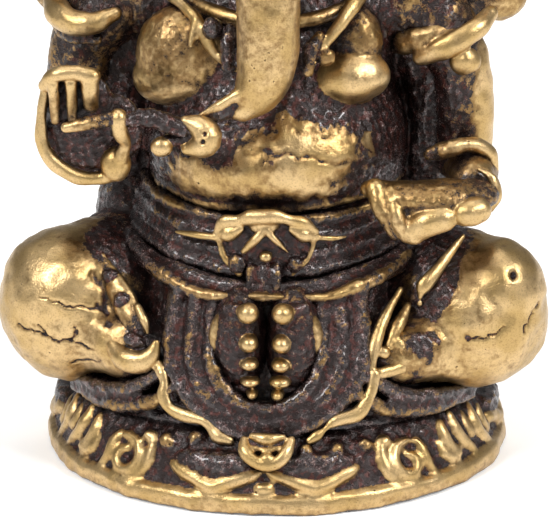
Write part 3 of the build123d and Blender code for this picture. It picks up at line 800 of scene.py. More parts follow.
class IDOL_OT_hem(bpy.types.Operator):
    """Casts the scalloped hem, its hanging drop and the twisted strands up the inner thighs"""
    bl_idname = "idol.hem"
    bl_label = "Hem and drop"

    def execute(self, context):
        right = [
            strand([(-7.3, -9.9, 8.9), (-6.7, -10.9, 8.3), (-6.4, -11.3, 7.6), (-6.5, -11.5, 6.8),
                    (-6.1, -11.8, 6.1), (-5.2, -12.1, 5.7), (-3.9, -12.6, 5.5), (-3.3, -12.8, 5.1),
                    (-2.9, -13.0, 4.6), (-2.1, -13.2, 4.4)],
                   (0.25, 0.42, 0.3, 0.46, 0.32, 0.44, 0.34, 0.4, 0.5, 0.3), 1.3),
            tube([(-9.9, -9.2, 9.3), (-9.1, -10.1, 8.7), (-8.0, -10.5, 8.6), (-7.3, -10.6, 9.2),
                  (-7.0, -10.6, 10.0)],
                 (0.55, 0.8, 0.78, 0.58, 0.32), 1.2, 0.8, out=FRONT),
            tube([(-10.9, -6.2, 14.2), (-10.0, -7.2, 12.9), (-9.1, -8.3, 11.6), (-8.3, -9.4, 10.3)],
                 (0.4, 0.8, 0.85, 0.6), (0.2, 0.75, 0.8, 0.4), 0.6, out=FRONT),
            bulb((-10.3, -7.2, 13.3), (0.62, 0.4, 0.5), -0.9, sides=18),
            bulb((-9.35, -8.3, 12.0), (0.62, 0.42, 0.52), -0.9, sides=18),
            bulb((-8.4, -10.0, 9.9), (0.85, 0.5, 0.5), -0.9, lean=(0, 25, 0), sides=18),
            tube([(-8.3, -9.0, 11.9), (-7.8, -9.6, 11.1), (-7.6, -9.9, 10.4)], (0.25, 0.32, 0.2), 1.0,
                 sides=12),
        ]
        left = [
            strand([(7.0, -10.9, 8.3), (6.8, -11.3, 7.2), (6.0, -11.9, 6.0), (4.6, -12.4, 5.6),
                    (4.0, -12.7, 5.2), (3.5, -12.9, 4.8), (3.0, -13.1, 4.5)],
                   (0.4, 0.38, 0.5, 0.44, 0.2, 0.4, 0.3), 1.3),
            strand([(8.5, -7.4, 12.9), (7.6, -9.0, 11.6), (6.95, -10.2, 10.0), (6.8, -10.8, 8.6)],
                   (0.22, 0.36, 0.4, 0.3), 1.0),
            strand([(9.0, -7.6, 11.9), (8.4, -8.8, 10.9), (7.9, -9.6, 9.8)], (0.26, 0.45, 0.3), 0.8),
            strand([(8.5, -9.3, 9.9), (8.9, -9.4, 8.8), (8.3, -9.9, 8.3), (7.0, -10.8, 8.3)],
                   (0.42, 0.5, 0.45, 0.36), 1.3),
            bulb((7.55, -10.1, 9.5), 0.4, 1.0, sides=14),
            tube([(12.4, -4.9, 15.8), (11.0, -6.6, 14.3), (10.0, -7.4, 13.2), (9.75, -7.6, 12.5)],
                 (0.18, 0.4, 0.55, 0.2), 1.3, 0.7, out=FRONT, sides=14),
            bulb((9.75, -7.5, 12.0), 0.25, 1.1, sides=12),
        ]
        drop = [
            tube([(-1.1, -13.9, 4.8), (-1.0, -14.5, 4.2), (-0.4, -14.9, 3.7), (0.4, -15.0, 3.5),
                  (1.2, -14.9, 3.75), (1.65, -14.5, 4.25), (1.9, -13.9, 4.85)],
                 (0.25, 0.44, 0.42, 0.42, 0.42, 0.44, 0.28), 1.3, 0.85, out=FRONT, sides=16),
            bulb((0.4, -14.85, 3.9), (0.5, 0.42, 0.4), 1.2, sides=16),
            tube([(-0.6, -14.0, 5.1), (0.4, -14.3, 4.98), (1.4, -14.0, 5.1)], (0.2, 0.38, 0.2), 1.2,
                 sides=16),
            tube([(-0.6, -14.4, 4.45), (0.4, -14.6, 4.35), (1.3, -14.4, 4.5)], (0.12, 0.16, 0.12), 0.7,
                 sides=12),
            bulb((0.4, -13.8, 4.3), (1.6, 0.7, 0.95), -0.4, lean=(-12, 0, 0)),
        ]
        melt("right_hem", right, [], 0.09, seed=41)
        melt("left_hem", left, [], 0.09, seed=43)
        melt("hem_drop", drop, ["dhoti_hem", "hem_pendant"], 0.09, lumps=0.04, seed=45)
        return {"FINISHED"}


class IDOL_OT_torso(bpy.types.Operator):
    """Casts the chest and round belly"""
    bl_idname = "idol.torso"
    bl_label = "Chest and belly"

    def execute(self, context):
        sizes = context.scene.idol_body
        belly = sizes.belly_front
        shells = [
            loft([(15, 8.0, 6.8, 6.0), (16.5, 8.0, 7.1, 6.2), (18.0, 8.1, 7.6, 6.6),
                  (18.8, 8.2, belly - 0.9, 6.8), (19.8, 8.4, belly - 0.1, 6.9), (21.5, 8.5, belly, 6.8),
                  (23.5, 8.2, belly - 1.0, 6.4), (25.3, 7.7, 7.2, 6.1), (27, 7.8, 6.4, 5.9),
                  (29, 8.6, 5.6, 5.4), (31, 8.8, 4.8, 4.8), (32.6, 6.0, 3.9, 3.8), (33.6, 3.6, 2.8, 2.8)],
                 -0.25),
            bulb((-5.6, -4.3, 27.6), (3.2, 2.3, 3.2), 0.55),
            bulb((-6.1, -4.2, 26.0), (2.9, 2.2, 1.9), 0.75),
            bulb((5.1, -5.0, 26.4), (2.5, 2.1, 1.8), 1.1),
            bulb((5.3, -4.2, 28.4), (1.7, 1.7, 2.6), 0.35),
            hoop(18.65, 8.0, belly - 1.2, 6.4, 0.42, sag=0.2, rub=0.5),
        ]
        for sign in BOTH_SIDES:
            shells.append(bulb((sign * 8.3, 0.2, 30.2), (3.0, 3.2, 2.9), 0.2))
            shells.append(tube(mirror([(9.8, 1.0, 31.0), (10.6, 1.1, 26.5), (10.2, 0.9, 21.5),
                                       (9.6, 0.9, 18.0)], sign),
                               (2.5, 2.4, 2.2, 1.6), -0.5, sides=32))
            shells.append(bulb((sign * 9.2, 0.6, 27.4), (2.2, 1.9, 3.4), -0.5))
        spots = [
            ((-0.5, -9.6, 20.3), (5.6, 3.0, 1.5), 1.0),
            ((-5.6, -7.4, 20.3), (2.4, 3.0, 1.3), 0.7),
            ((4.0, -8.6, 22.2), (3.6, 3.0, 2.0), 1.0),
            ((0.8, -9.6, 23.2), (3.6, 2.4, 1.5), 0.6),
            ((-3.2, -7.6, 28.6), (1.6, 2.0, 1.6), 0.3),
        ]
        creases = [
            crack([(-0.4, -10.2, 22.5), (1.6, -10.1, 22.2), (3.6, -9.6, 21.8), (5.2, -8.9, 21.3),
                   (6.6, -8.0, 21.2)], 9, 0.12, 0.2),
            crack([(1.4, -9.2, 23.9), (2.6, -9.2, 23.3), (3.9, -9.0, 23.1)], 8, 0.09, 0.16),
        ]
        melt("torso_body", shells, ["torso"], 0.9 * sizes.cast_grain, relax=5, lumps=0.08, spots=spots,
             cuts=creases, tooth=0.04, seed=51)
        return {"FINISHED"}


class IDOL_OT_belt(bpy.types.Operator):
    """Casts the rolled cloth belt, its winged buckle and the short folds that hang from it"""
    bl_idname = "idol.belt"
    bl_label = "Belt and buckle"

    def execute(self, context):
        rolls = [
            hoop(18.15, 8.5, 8.6, 7.0, 0.4, sag=0.5, rub=0.15),
            hoop(17.35, 8.8, 8.8, 7.2, 0.48, sag=0.75, rub=-0.1),
            hoop(16.5, 9.1, 9.0, 7.4, 0.5, sag=1.0, rub=-0.1),
            hoop(15.7, 9.4, 9.3, 7.6, 0.5, sag=1.2, rub=-0.1),
            loft([(14.2, 8.8, 8.6, 7.0), (16.5, 8.6, 8.3, 6.9), (18.4, 8.0, 7.8, 6.6)], -0.3),
        ]
        for across in (-0.9, -0.15, 0.6):
            rolls.append(tube([(across, -9.2, 15.4), (across * 1.1, -9.9, 14.6), (across * 1.2, -10.3, 13.7)],
                              (0.3, 0.42, 0.3), 0.1, sides=12))
        melt("belt_cloth", rolls, ["belt", "sash_tail"], 0.165, lumps=0.07, seed=61)
        buckle = [
            tube([(-3.2, -9.3, 16.95), (-2.7, -9.5, 17.8), (-1.75, -9.75, 18.05), (-0.75, -9.95, 18.35),
                  (0.55, -9.95, 18.4), (1.55, -9.8, 18.15), (2.4, -9.55, 17.8), (3.15, -9.3, 17.3)],
                 (0.28, 0.45, 0.36, 0.5, 0.5, 0.36, 0.5, 0.25), 1.3, 0.8, out=FRONT),
            bulb((-0.1, -9.75, 17.8), (1.0, 0.45, 0.55), 1.15),
            bulb((0.03, -10.05, 15.75), (0.46, 0.4, 0.4), 1.3, sides=18),
            tube([(-5.9, -7.95, 16.65), (-4.6, -8.85, 16.75), (-3.3, -9.4, 16.8)], (0.16, 0.27, 0.3), 1.2,
                 sides=12),
            tube([(3.2, -9.4, 16.9), (4.2, -9.1, 16.8), (5.0, -8.7, 16.8)], (0.2, 0.22, 0.14), 0.8, sides=12),
            bulb((0, -9.2, 16.4), (3.0, 0.6, 2.0), -0.4),
        ]
        for sign in BOTH_SIDES:
            buckle += [
                tube(mirror([(3.05, -9.45, 16.95), (2.4, -9.75, 17.15), (1.6, -9.9, 17.55)], sign),
                     (0.28, 0.46, 0.2), 1.15, 0.8, out=FRONT, sides=16),
                tube(mirror([(0.1, -10.0, 17.5), (0.7, -10.1, 16.85), (1.4, -10.0, 16.1)], sign),
                     (0.32, 0.28, 0.15), 1.2, sides=14),
                tube(mirror([(3.15, -9.4, 17.1), (2.7, -9.65, 15.6), (1.7, -9.85, 14.55)], sign),
                     (0.2, 0.22, 0.2), 0.75, sides=12),
                bulb((sign * 1.85, -9.75, 15.2), (0.6, 0.5, 0.62), 0.05, sides=20),
            ]
        melt("belt_buckle_wings", buckle, ["belt_buckle"], 0.09, seed=65, finish=ORNAMENT)
        return {"FINISHED"}


class IDOL_OT_necklace(bpy.types.Operator):
    """Casts the necklace and the strands that hang from it"""
    bl_idname = "idol.necklace"
    bl_label = "Necklace"

    def execute(self, context):
        shells = [
            hoop(32.0, 6.6, 6.0, 5.2, 0.5, rub=0.7, tilt=0.32),
            strand([(-7.4, -2.4, 31.6), (-6.0, -4.6, 31.0), (-4.7, -6.0, 30.2), (-3.9, -6.7, 28.9),
                    (-3.0, -7.3, 27.9), (-1.6, -8.0, 27.3)], (0.5, 0.42, 0.36, 0.4, 0.24, 0.18), 1.3),
            tube([(-4.7, -6.1, 30.2), (-4.9, -6.4, 29.3), (-5.0, -6.7, 28.7)], (0.3, 0.34, 0.2), 1.0,
                 sides=12),
            strand([(6.0, -3.4, 32.0), (5.4, -4.9, 31.3), (4.6, -6.0, 30.3), (3.7, -6.7, 29.2),
                    (2.8, -7.2, 28.2)],
                   (0.6, 0.5, 0.4, 0.34, 0.22), 1.25),
            tube([(3.2, -7.0, 29.6), (2.6, -7.4, 28.6), (2.5, -7.8, 27.4)], (0.3, 0.5, 0.34), 0.1, sides=14),
            tube([(-2.4, -7.0, 30.0), (-2.6, -7.4, 28.9), (-2.5, -7.9, 27.6)], (0.3, 0.5, 0.4), 0.0,
                 sides=14),
            bulb((3.6, -7.0, 28.2), (0.6, 0.45, 0.6), 0.3, sides=16),
            bulb((-3.6, -6.9, 29.9), (0.6, 0.5, 0.7), -0.2, sides=16),
        ]
        melt("necklace_strands", shells, ["necklace"], 0.11, seed=71, finish=ORNAMENT)
        return {"FINISHED"}


class IDOL_OT_head(bpy.types.Operator):
    """Casts the elephant head with its brow, eyes, tusks and hanging trunk"""
    bl_idname = "idol.head"
    bl_label = "Head and trunk"

    def execute(self, context):
        head = [
            tube([(0, -0.2, 31.0), (0, -0.8, 36.0)], (4.6, 4.4), 0.0, sides=32),
            bulb((0, -1.5, 38.3), (5.3, 5.4, 5.5), 0.3),
            bulb((0, -5.2, 38.4), (2.7, 2.8, 3.6), 0.5),
        ]
        for sign in BOTH_SIDES:
            head += [
                bulb((sign * 2.2, -4.2, 40.2), (2.6, 2.3, 2.6), 0.6),
                bulb((sign * 3.0, -4.5, 35.8), (2.2, 2.4, 2.3), 0.6),
                bulb((sign * 2.4, -5.9, 35.2), (1.2, 1.3, 1.2), 0.7),
                tube(mirror([(1.7, -6.8, 39.5), (3.0, -6.6, 40.1), (4.4, -5.3, 39.7), (5.0, -4.2, 38.8)],
                            sign),
                     (0.25, 0.42, 0.4, 0.25), 0.9, sides=14),
                bulb((sign * 3.45, -6.0, 38.6), (0.95, 0.6, 0.62), 0.5, lean=(0, 0, sign * 35), sides=20),
                tube(mirror([(2.5, -6.7, 38.3), (3.3, -6.75, 39.15), (4.4, -5.7, 38.7)], sign),
                     (0.16, 0.24, 0.16), 0.9, sides=12),
                tube(mirror([(2.5, -6.6, 38.3), (3.4, -6.5, 37.95), (4.4, -5.7, 38.5)], sign),
                     (0.14, 0.2, 0.14), 0.6, sides=12),
            ]
        head.append(bulb((0, -7.3, 40.6), (0.55, 0.4, 1.1), 1.2, sides=16))
        melt("head_body", head, ["head", "eyes"], 0.165, relax=5, lumps=0.06, seed=81)
        trunk = [
            tube([(0, -5.6, 39.2), (0.05, -7.9, 37.6), (0.1, -9.2, 35.2), (0.15, -9.8, 32.3),
                  (0.15, -9.9, 29.4), (-0.1, -10.0, 27.6), (-0.75, -10.1, 26.4), (-1.5, -10.3, 25.6)],
                 (2.5, 2.4, 2.15, 2.0, 1.95, 1.8, 1.45, 0.85), (0.5, 0.7, 0.85, 0.85, 0.85, 0.85, 0.95, 1.1),
                 sides=40),
            tube([(-0.6, -10.3, 27.2), (-1.6, -10.8, 26.75), (-2.9, -10.9, 26.0), (-4.3, -10.9, 25.2)],
                 (0.5, 0.42, 0.32, 0.16), 1.2, sides=14),
            tube([(-1.2, -10.2, 26.2), (-2.8, -10.6, 25.4), (-3.8, -10.8, 24.8)], (0.8, 0.6, 0.3), -0.2,
                 sides=16),
        ]
        melt("trunk_body", trunk, ["trunk"], 0.14, relax=6, seed=83)
        tusk = [tube([(2.4, -6.2, 35.3), (3.2, -8.4, 34.5), (3.9, -10.3, 34.2)], (0.8, 0.68, 0.3), 1.0),
                cuff((2.4, -6.2, 35.3), (3.2, -8.4, 34.5), 0.55, 0.78, 0.2)]
        melt("left_tusk_whole", tusk, ["left_tusk"], 0.09, lumps=0.02, seed=85, finish=ORNAMENT)
        stub = [tube([(-2.4, -6.2, 35.3), (-3.1, -8.0, 34.7)], (0.8, 0.66), 0.9),
                cuff((-2.4, -6.2, 35.3), (-3.1, -8.0, 34.7), 0.6, 0.78, 0.2)]
        melt("right_tusk_broken", stub, ["right_tusk_stub"], 0.09, lumps=0.04, seed=87, finish=ORNAMENT)
        return {"FINISHED"}


class IDOL_OT_ears(bpy.types.Operator):
    """Casts the two wide ears with rolled rims and inner folds"""
    bl_idname = "idol.ears"
    bl_label = "Ears"

    def execute(self, context):
        for name, sign in zip(("right", "left"), BOTH_SIDES):
            rim = [(5.2, -1.2, 42.0), (7.6, -0.9, 43.0), (10.6, -0.7, 42.2), (12.6, -0.8, 39.6),
                   (12.8, -1.0, 36.6), (11.6, -1.2, 33.8), (9.6, -1.4, 31.9), (8.2, -1.5, 32.2),
                   (7.4, -1.4, 33.8)]
            shells = [
                bulb((sign * 9.0, -0.5, 37.4), (4.0, 0.75, 5.4), 0.1),
                bulb((sign * 6.4, -0.9, 38.0), (2.6, 1.5, 4.0), 0.1),
                tube(mirror(rim, sign), (0.5, 0.6, 0.62, 0.6, 0.58, 0.55, 0.5, 0.42, 0.3), 1.1, 0.8,
                     out=FRONT),
                strand(mirror([(6.6, -1.8, 40.6), (8.6, -1.5, 40.8), (10.4, -1.3, 39.0), (10.6, -1.3, 36.6)],
                              sign),
                       (0.3, 0.42, 0.4, 0.25), 0.5),
                strand(mirror([(6.8, -1.8, 38.6), (8.3, -1.5, 38.2), (9.0, -1.4, 36.0)], sign),
                       (0.25, 0.36, 0.25), 0.4),
                bulb((sign * 8.7, -1.9, 31.6), (0.9, 0.8, 0.9), 1.2, sides=20),
                bulb((sign * 8.7, -2.0, 30.4), (0.5, 0.5, 0.7), 1.1, sides=16),
            ]
            melt(f"{name}_ear_flap", shells, [f"{name}_ear"], 0.13, relax=4, lumps=0.06, seed=91 + sign)
        return {"FINISHED"}


class IDOL_OT_crown(bpy.types.Operator):
    """Casts the tiered crown, its beaded band and its finial"""
    bl_idname = "idol.crown"
    bl_label = "Crown"

    def execute(self, context):
        centre = np.array([0, -1.4, 0])
        turns = np.radians(np.arange(0, 360, 20))
        band = [
            turned([(0.3, 41.4), (4.9, 41.4), (5.1, 42.3), (4.9, 43.2), (0.3, 43.2)], 0.0, 96),
        ]
        crown = [
            turned([(0.3, 42.8), (4.5, 43.0), (4.4, 44.2), (3.9, 45.2), (3.5, 45.5), (3.4, 46.6), (2.9, 47.4),
                    (2.4, 47.7), (2.25, 48.8), (1.7, 49.5), (0.3, 49.7)], 0.1, 96),
        ]
        finial = [turned([(0.2, 49.0), (1.0, 49.4), (1.3, 50.1), (1.35, 50.7), (1.0, 51.5), (0.6, 51.9),
                          (0.75, 52.3), (0.45, 53.0), (0.15, 54.0), (0.05, 54.1)], 0.9, 48)]

        def circle(radius, height, wire, rub):
            places = np.column_stack([radius * np.sin(turns), -radius * np.cos(turns), height + 0 * turns])
            return tube(places, wire, rub, sides=12, loop=True, out=UP)

        band += [circle(5.1, 41.6, 0.4, 1.0), circle(4.95, 43.1, 0.38, 1.0)]
        crown += [circle(4.1, 45.25, 0.34, 0.9), circle(3.05, 47.5, 0.3, 0.9), circle(1.75, 49.5, 0.28, 1.0)]
        for turn in turns:
            spot = np.array([np.sin(turn), -np.cos(turn), 0])
            band.append(bulb(5.1 * spot + (0, 0, 42.35), 0.42, 1.0, sides=14))
            crown.append(tube([4.35 * spot + (0, 0, 43.4), 4.4 * spot + (0, 0, 44.3),
                               3.9 * spot + (0, 0, 45.0)],
                              (0.4, 0.42, 0.16), 0.7, sides=10))
        for turn in turns[::2]:
            spot = np.array([np.sin(turn), -np.cos(turn), 0])
            crown.append(tube([3.5 * spot + (0, 0, 45.7), 3.45 * spot + (0, 0, 46.5),
                               2.95 * spot + (0, 0, 47.2)],
                              (0.42, 0.46, 0.16), 0.7, sides=10))
            crown.append(tube([2.4 * spot + (0, 0, 47.9), 2.3 * spot + (0, 0, 48.7),
                               1.8 * spot + (0, 0, 49.2)],
                              (0.3, 0.32, 0.14), 0.7, sides=10))
        band += [bulb((0, -5.3, 43.0), (1.1, 0.6, 1.5), 1.0),
                 bulb((0, -5.8, 43.0), (0.55, 0.4, 0.8), 1.1, sides=16)]
        for name, shells, nodes, seed in (("crown_band_beads", band, ["crown_band"], 101),
                                          ("crown_tiers", crown, ["crown"], 103),
                                          ("crown_tip", finial, ["crown_finial"], 105)):
            shells = [shell._replace(points=shell.points + centre) for shell in shells]
            melt(name, shells, nodes, 0.135, seed=seed)
        return {"FINISHED"}


class IDOL_OT_raised_arm(bpy.types.Operator):
    """Casts the right front arm and its raised open hand"""
    bl_idname = "idol.raised_arm"
    bl_label = "Raised arm"

    def execute(self, context):
        shoulder, elbow, wrist = (-9.2, -0.4, 30.6), (-13.0, 0.2, 23.0), (-12.6, -6.6, 21.8)
        upper = [tube([shoulder, (-12.4, -0.6, 27.4), elbow], (2.6, 2.2, 2.1), (0.3, 0.3, 0.0), sides=32)]
        fore = [tube([elbow, (-13.0, -3.4, 22.2), wrist], (2.0, 1.8, 1.5), (0.0, 0.2, 0.5), sides=32)]
        rings = [
            tube([(-14.4, -0.8, 29.8), (-13.6, -2.8, 29.3), (-11.9, -3.7, 29.2), (-10.2, -3.4, 29.8)],
                 (0.8, 0.95, 0.85, 0.5), 1.1, 0.9, out=FRONT),
            tube([(-14.2, -0.8, 28.3), (-13.2, -2.6, 28.0), (-11.4, -3.2, 28.0)], (0.4, 0.42, 0.36), 0.3,
                 sides=16),
        ]
        bangles = [cuff(elbow, wrist, 0.78, 1.75, 0.35), cuff(elbow, wrist, 0.9, 1.7, 0.3)]
        hand = [
            bulb((-11.7, -9.1, 23.0), (2.75, 1.0, 2.6), -0.4),
            bulb((-12.0, -9.0, 25.4), (2.3, 0.9, 2.2), -0.4),
            bulb((-9.9, -8.6, 23.6), (2.0, 0.9, 2.4), -0.5),
            bulb((-12.2, -7.8, 22.0), (2.1, 1.5, 1.8), 0.0),
            tube([(-13.9, -9.7, 26.6), (-14.2, -9.9, 25.0), (-14.2, -10.0, 23.2), (-13.5, -10.1, 21.8),
                  (-12.1, -10.1, 20.9), (-10.6, -10.0, 20.7), (-9.4, -9.9, 21.1)],
                 (0.36, 0.36, 0.4, 0.44, 0.42, 0.42, 0.5), 1.2, 0.9, out=FRONT),
            bulb((-9.5, -10.1, 21.7), (0.95, 0.8, 1.15), 0.95, sides=20),
            tube([(-9.2, -11.2, 25.1), (-9.1, -11.2, 24.2), (-8.8, -10.7, 23.3), (-9.2, -10.4, 22.2)],
                 (0.62, 0.5, 0.36, 0.5), (1.3, 1.2, 0.9, 0.7), sides=16),
            tube([(-13.95, -10.3, 26.9), (-13.2, -10.9, 27.75), (-12.0, -11.0, 28.0), (-10.9, -10.9, 27.7)],
                 (0.42, 0.5, 0.52, 0.6), 1.3, sides=18),
        ]
        for across, low, wire in ((-13.3, 24.6, 0.36), (-12.2, 24.4, 0.38), (-11.0, 25.5, 0.55)):
            hand.append(tube([(across, -9.4, 27.4), (across, -10.2, 27.6), (across, -10.9, 27.2),
                              (across, -10.6, 26.2), (across, -10.2, low)],
                             (0.4, 0.45, wire + 0.05, wire, wire * 0.9), (0.8, 1.2, 1.2, 1.0, 0.5), sides=16))
        melt("right_front_upper", upper, ["right_front_upper_arm"], 0.14, relax=5, lumps=0.07, seed=111)
        melt("right_front_fore", fore, ["right_front_forearm"], 0.14, relax=5, lumps=0.07, seed=112)
        melt("right_front_rings", rings + bangles, ["right_front_armlet", "right_front_bracelet"], 0.12,
             lumps=0.08, seed=113, finish=ORNAMENT)
        melt("right_front_palm", hand, ["right_front_hand"], 0.09, relax=4, seed=114)
        return {"FINISHED"}


class IDOL_OT_resting_arm(bpy.types.Operator):
    """Casts the left front arm and its hand, palm up on the knee"""
    bl_idname = "idol.resting_arm"
    bl_label = "Resting arm"

    def execute(self, context):
        shoulder, elbow, wrist = (9.2, -0.4, 30.8), (12.3, -0.6, 20.0), (13.0, -5.2, 19.6)
        upper = [tube([shoulder, (11.8, -1.2, 26.6), (12.3, -1.2, 23.4), elbow], (2.5, 2.0, 1.9, 1.9),
                      (0.2, 0.1, 0.0, 0.1), sides=32)]
        fore = [tube([elbow, (12.9, -3.0, 19.8), wrist], (1.9, 1.7, 1.5), (0.3, 0.3, 0.5), sides=32)]
        rings = [
            tube([(9.4, -3.2, 27.2), (11.0, -3.6, 28.0), (12.8, -3.0, 29.0), (13.9, -1.6, 29.8)],
                 (0.5, 0.75, 0.8, 0.6), 1.1, 0.8, out=FRONT),
            bulb((12.4, -3.0, 27.0), (1.0, 0.8, 0.9), 1.1),
            cuff(shoulder, elbow, 0.22, 2.5, 0.6, 0.7, 1.3),
            tube([(10.2, -5.0, 21.3), (11.4, -5.2, 21.7), (12.8, -4.8, 21.9), (13.9, -4.2, 21.2),
                  (14.2, -4.0, 20.0)],
                 (0.4, 0.62, 0.6, 0.6, 0.5), (0.1, 0.6, 1.0, 1.1, 1.0), sides=16),
            tube([(13.4, -6.6, 20.8), (14.2, -6.8, 20.3), (14.5, -7.0, 19.3), (14.1, -6.9, 18.4)],
                 (0.4, 0.5, 0.5, 0.4), 1.1, sides=16),
        ]
        hand = [
            tube([(6.9, -8.5, 19.9), (8.8, -8.6, 19.6), (11.2, -8.3, 19.4), (13.2, -7.4, 19.4)],
                 (0.95, 1.5, 1.9, 1.6), (0.55, 0.5, 0.45, 0.3), 0.6, out=UP, sides=28),
            bulb((9.2, -8.6, 18.3), (1.6, 1.2, 1.4), 0.1),
            tube([(9.4, -9.7, 17.7), (10.2, -9.85, 18.2), (11.2, -9.85, 18.5)], (0.9, 0.98, 0.9), 1.25,
                 sides=28),
            tube([(12.6, -9.7, 18.85), (13.0, -9.65, 18.9), (13.5, -9.4, 19.0)], (0.8, 0.86, 0.8), 1.3,
                 sides=28),
            bulb((9.4, -9.8, 17.35), (0.72, 0.7, 0.62), 1.2, sides=20),
            bulb((10.0, -9.3, 19.0), (1.6, 0.8, 0.7), 0.6, sides=20),
            tube([(6.9, -9.0, 20.2), (7.35, -9.7, 18.9), (8.2, -9.8, 17.4)], (0.6, 0.55, 0.42),
                 (0.9, 0.6, 0.4), sides=18),
            tube([(7.9, -9.2, 19.9), (8.4, -10.0, 18.5), (8.9, -9.9, 17.3)], (0.55, 0.55, 0.45),
                 (0.6, 0.9, 0.9), sides=18),
        ]
        melt("left_front_upper", upper, ["left_front_upper_arm"], 0.14, relax=5, lumps=0.07, seed=121,
             spots=[((14.2, -1.5, 25.0), (1.7, 3.0, 4.2), 1.2), ((13.6, -1.5, 21.6), (1.2, 2.5, 1.6), 0.9)])
        melt("left_front_fore", fore, ["left_front_forearm"], 0.14, relax=5, lumps=0.07, seed=122)
        melt("left_front_rings", rings, ["left_front_armlet", "left_front_bracelet"], 0.12, lumps=0.1,
             seed=123, finish=ORNAMENT)
        melt("left_front_palm", hand, ["left_front_hand"], 0.09, relax=4, lumps=0.04, seed=124)
        return {"FINISHED"}


class IDOL_OT_rear_arms(bpy.types.Operator):
    """Casts the two rear arms, raised with closed hands"""
    bl_idname = "idol.rear_arms"
    bl_label = "Rear arms"

    def execute(self, context):
        shoulder, elbow, wrist = (8.4, 1.6, 30.8), (14.2, 2.2, 30.2), (15.1, 0.9, 36.8)
        for name, sign in zip(("right", "left"), BOTH_SIDES):
            start, bend, end = mirror([shoulder, elbow, wrist], sign)
            upper = [tube([start, 0.5 * (start + bend) + (0, 0, -0.3), bend], (2.4, 2.1, 1.9), 0.5, sides=32)]
            fore = [tube([bend, 0.5 * (bend + end) + (0.3 * sign, 0.2, 0), end], (1.85, 1.6, 1.3), 0.6,
                         sides=32)]
            rings = [cuff(start, bend, 0.5, 2.35, 0.5, 1.0, 1.3), cuff(bend, end, 0.75, 1.6, 0.34),
                     cuff(bend, end, 0.88, 1.5, 0.3)]
            hand = [bulb((sign * 15.2, 0.3, 38.9), (1.35, 1.3, 1.7), 0.6)]
            for finger in range(4):
                height = 37.7 + 0.82 * finger
                hand.append(tube(mirror([(13.9, 0.4, height), (14.2, -1.1, height + 0.1),
                                         (15.2, -1.5, height + 0.1), (16.1, -0.9, height)], sign),
                                 (0.42, 0.46, 0.44, 0.34), 1.0, sides=14))
            hand.append(tube(mirror([(16.2, 0.6, 38.2), (16.6, -0.5, 39.2), (16.0, -1.2, 40.4)], sign),
                             (0.5, 0.5, 0.36), 1.0, sides=14))
            melt(f"{name}_rear_upper", upper, [f"{name}_rear_upper_arm"], 0.15, relax=5, lumps=0.07, seed=131)
            melt(f"{name}_rear_fore", fore, [f"{name}_rear_forearm"], 0.15, relax=5, lumps=0.07, seed=133)
            melt(f"{name}_rear_rings", rings, [f"{name}_rear_armlet", f"{name}_rear_bracelet"], 0.13,
                 lumps=0.06, seed=135, finish=ORNAMENT)
            melt(f"{name}_rear_fist", hand, [f"{name}_rear_hand"], 0.11, relax=4, seed=137)
        return {"FINISHED"}


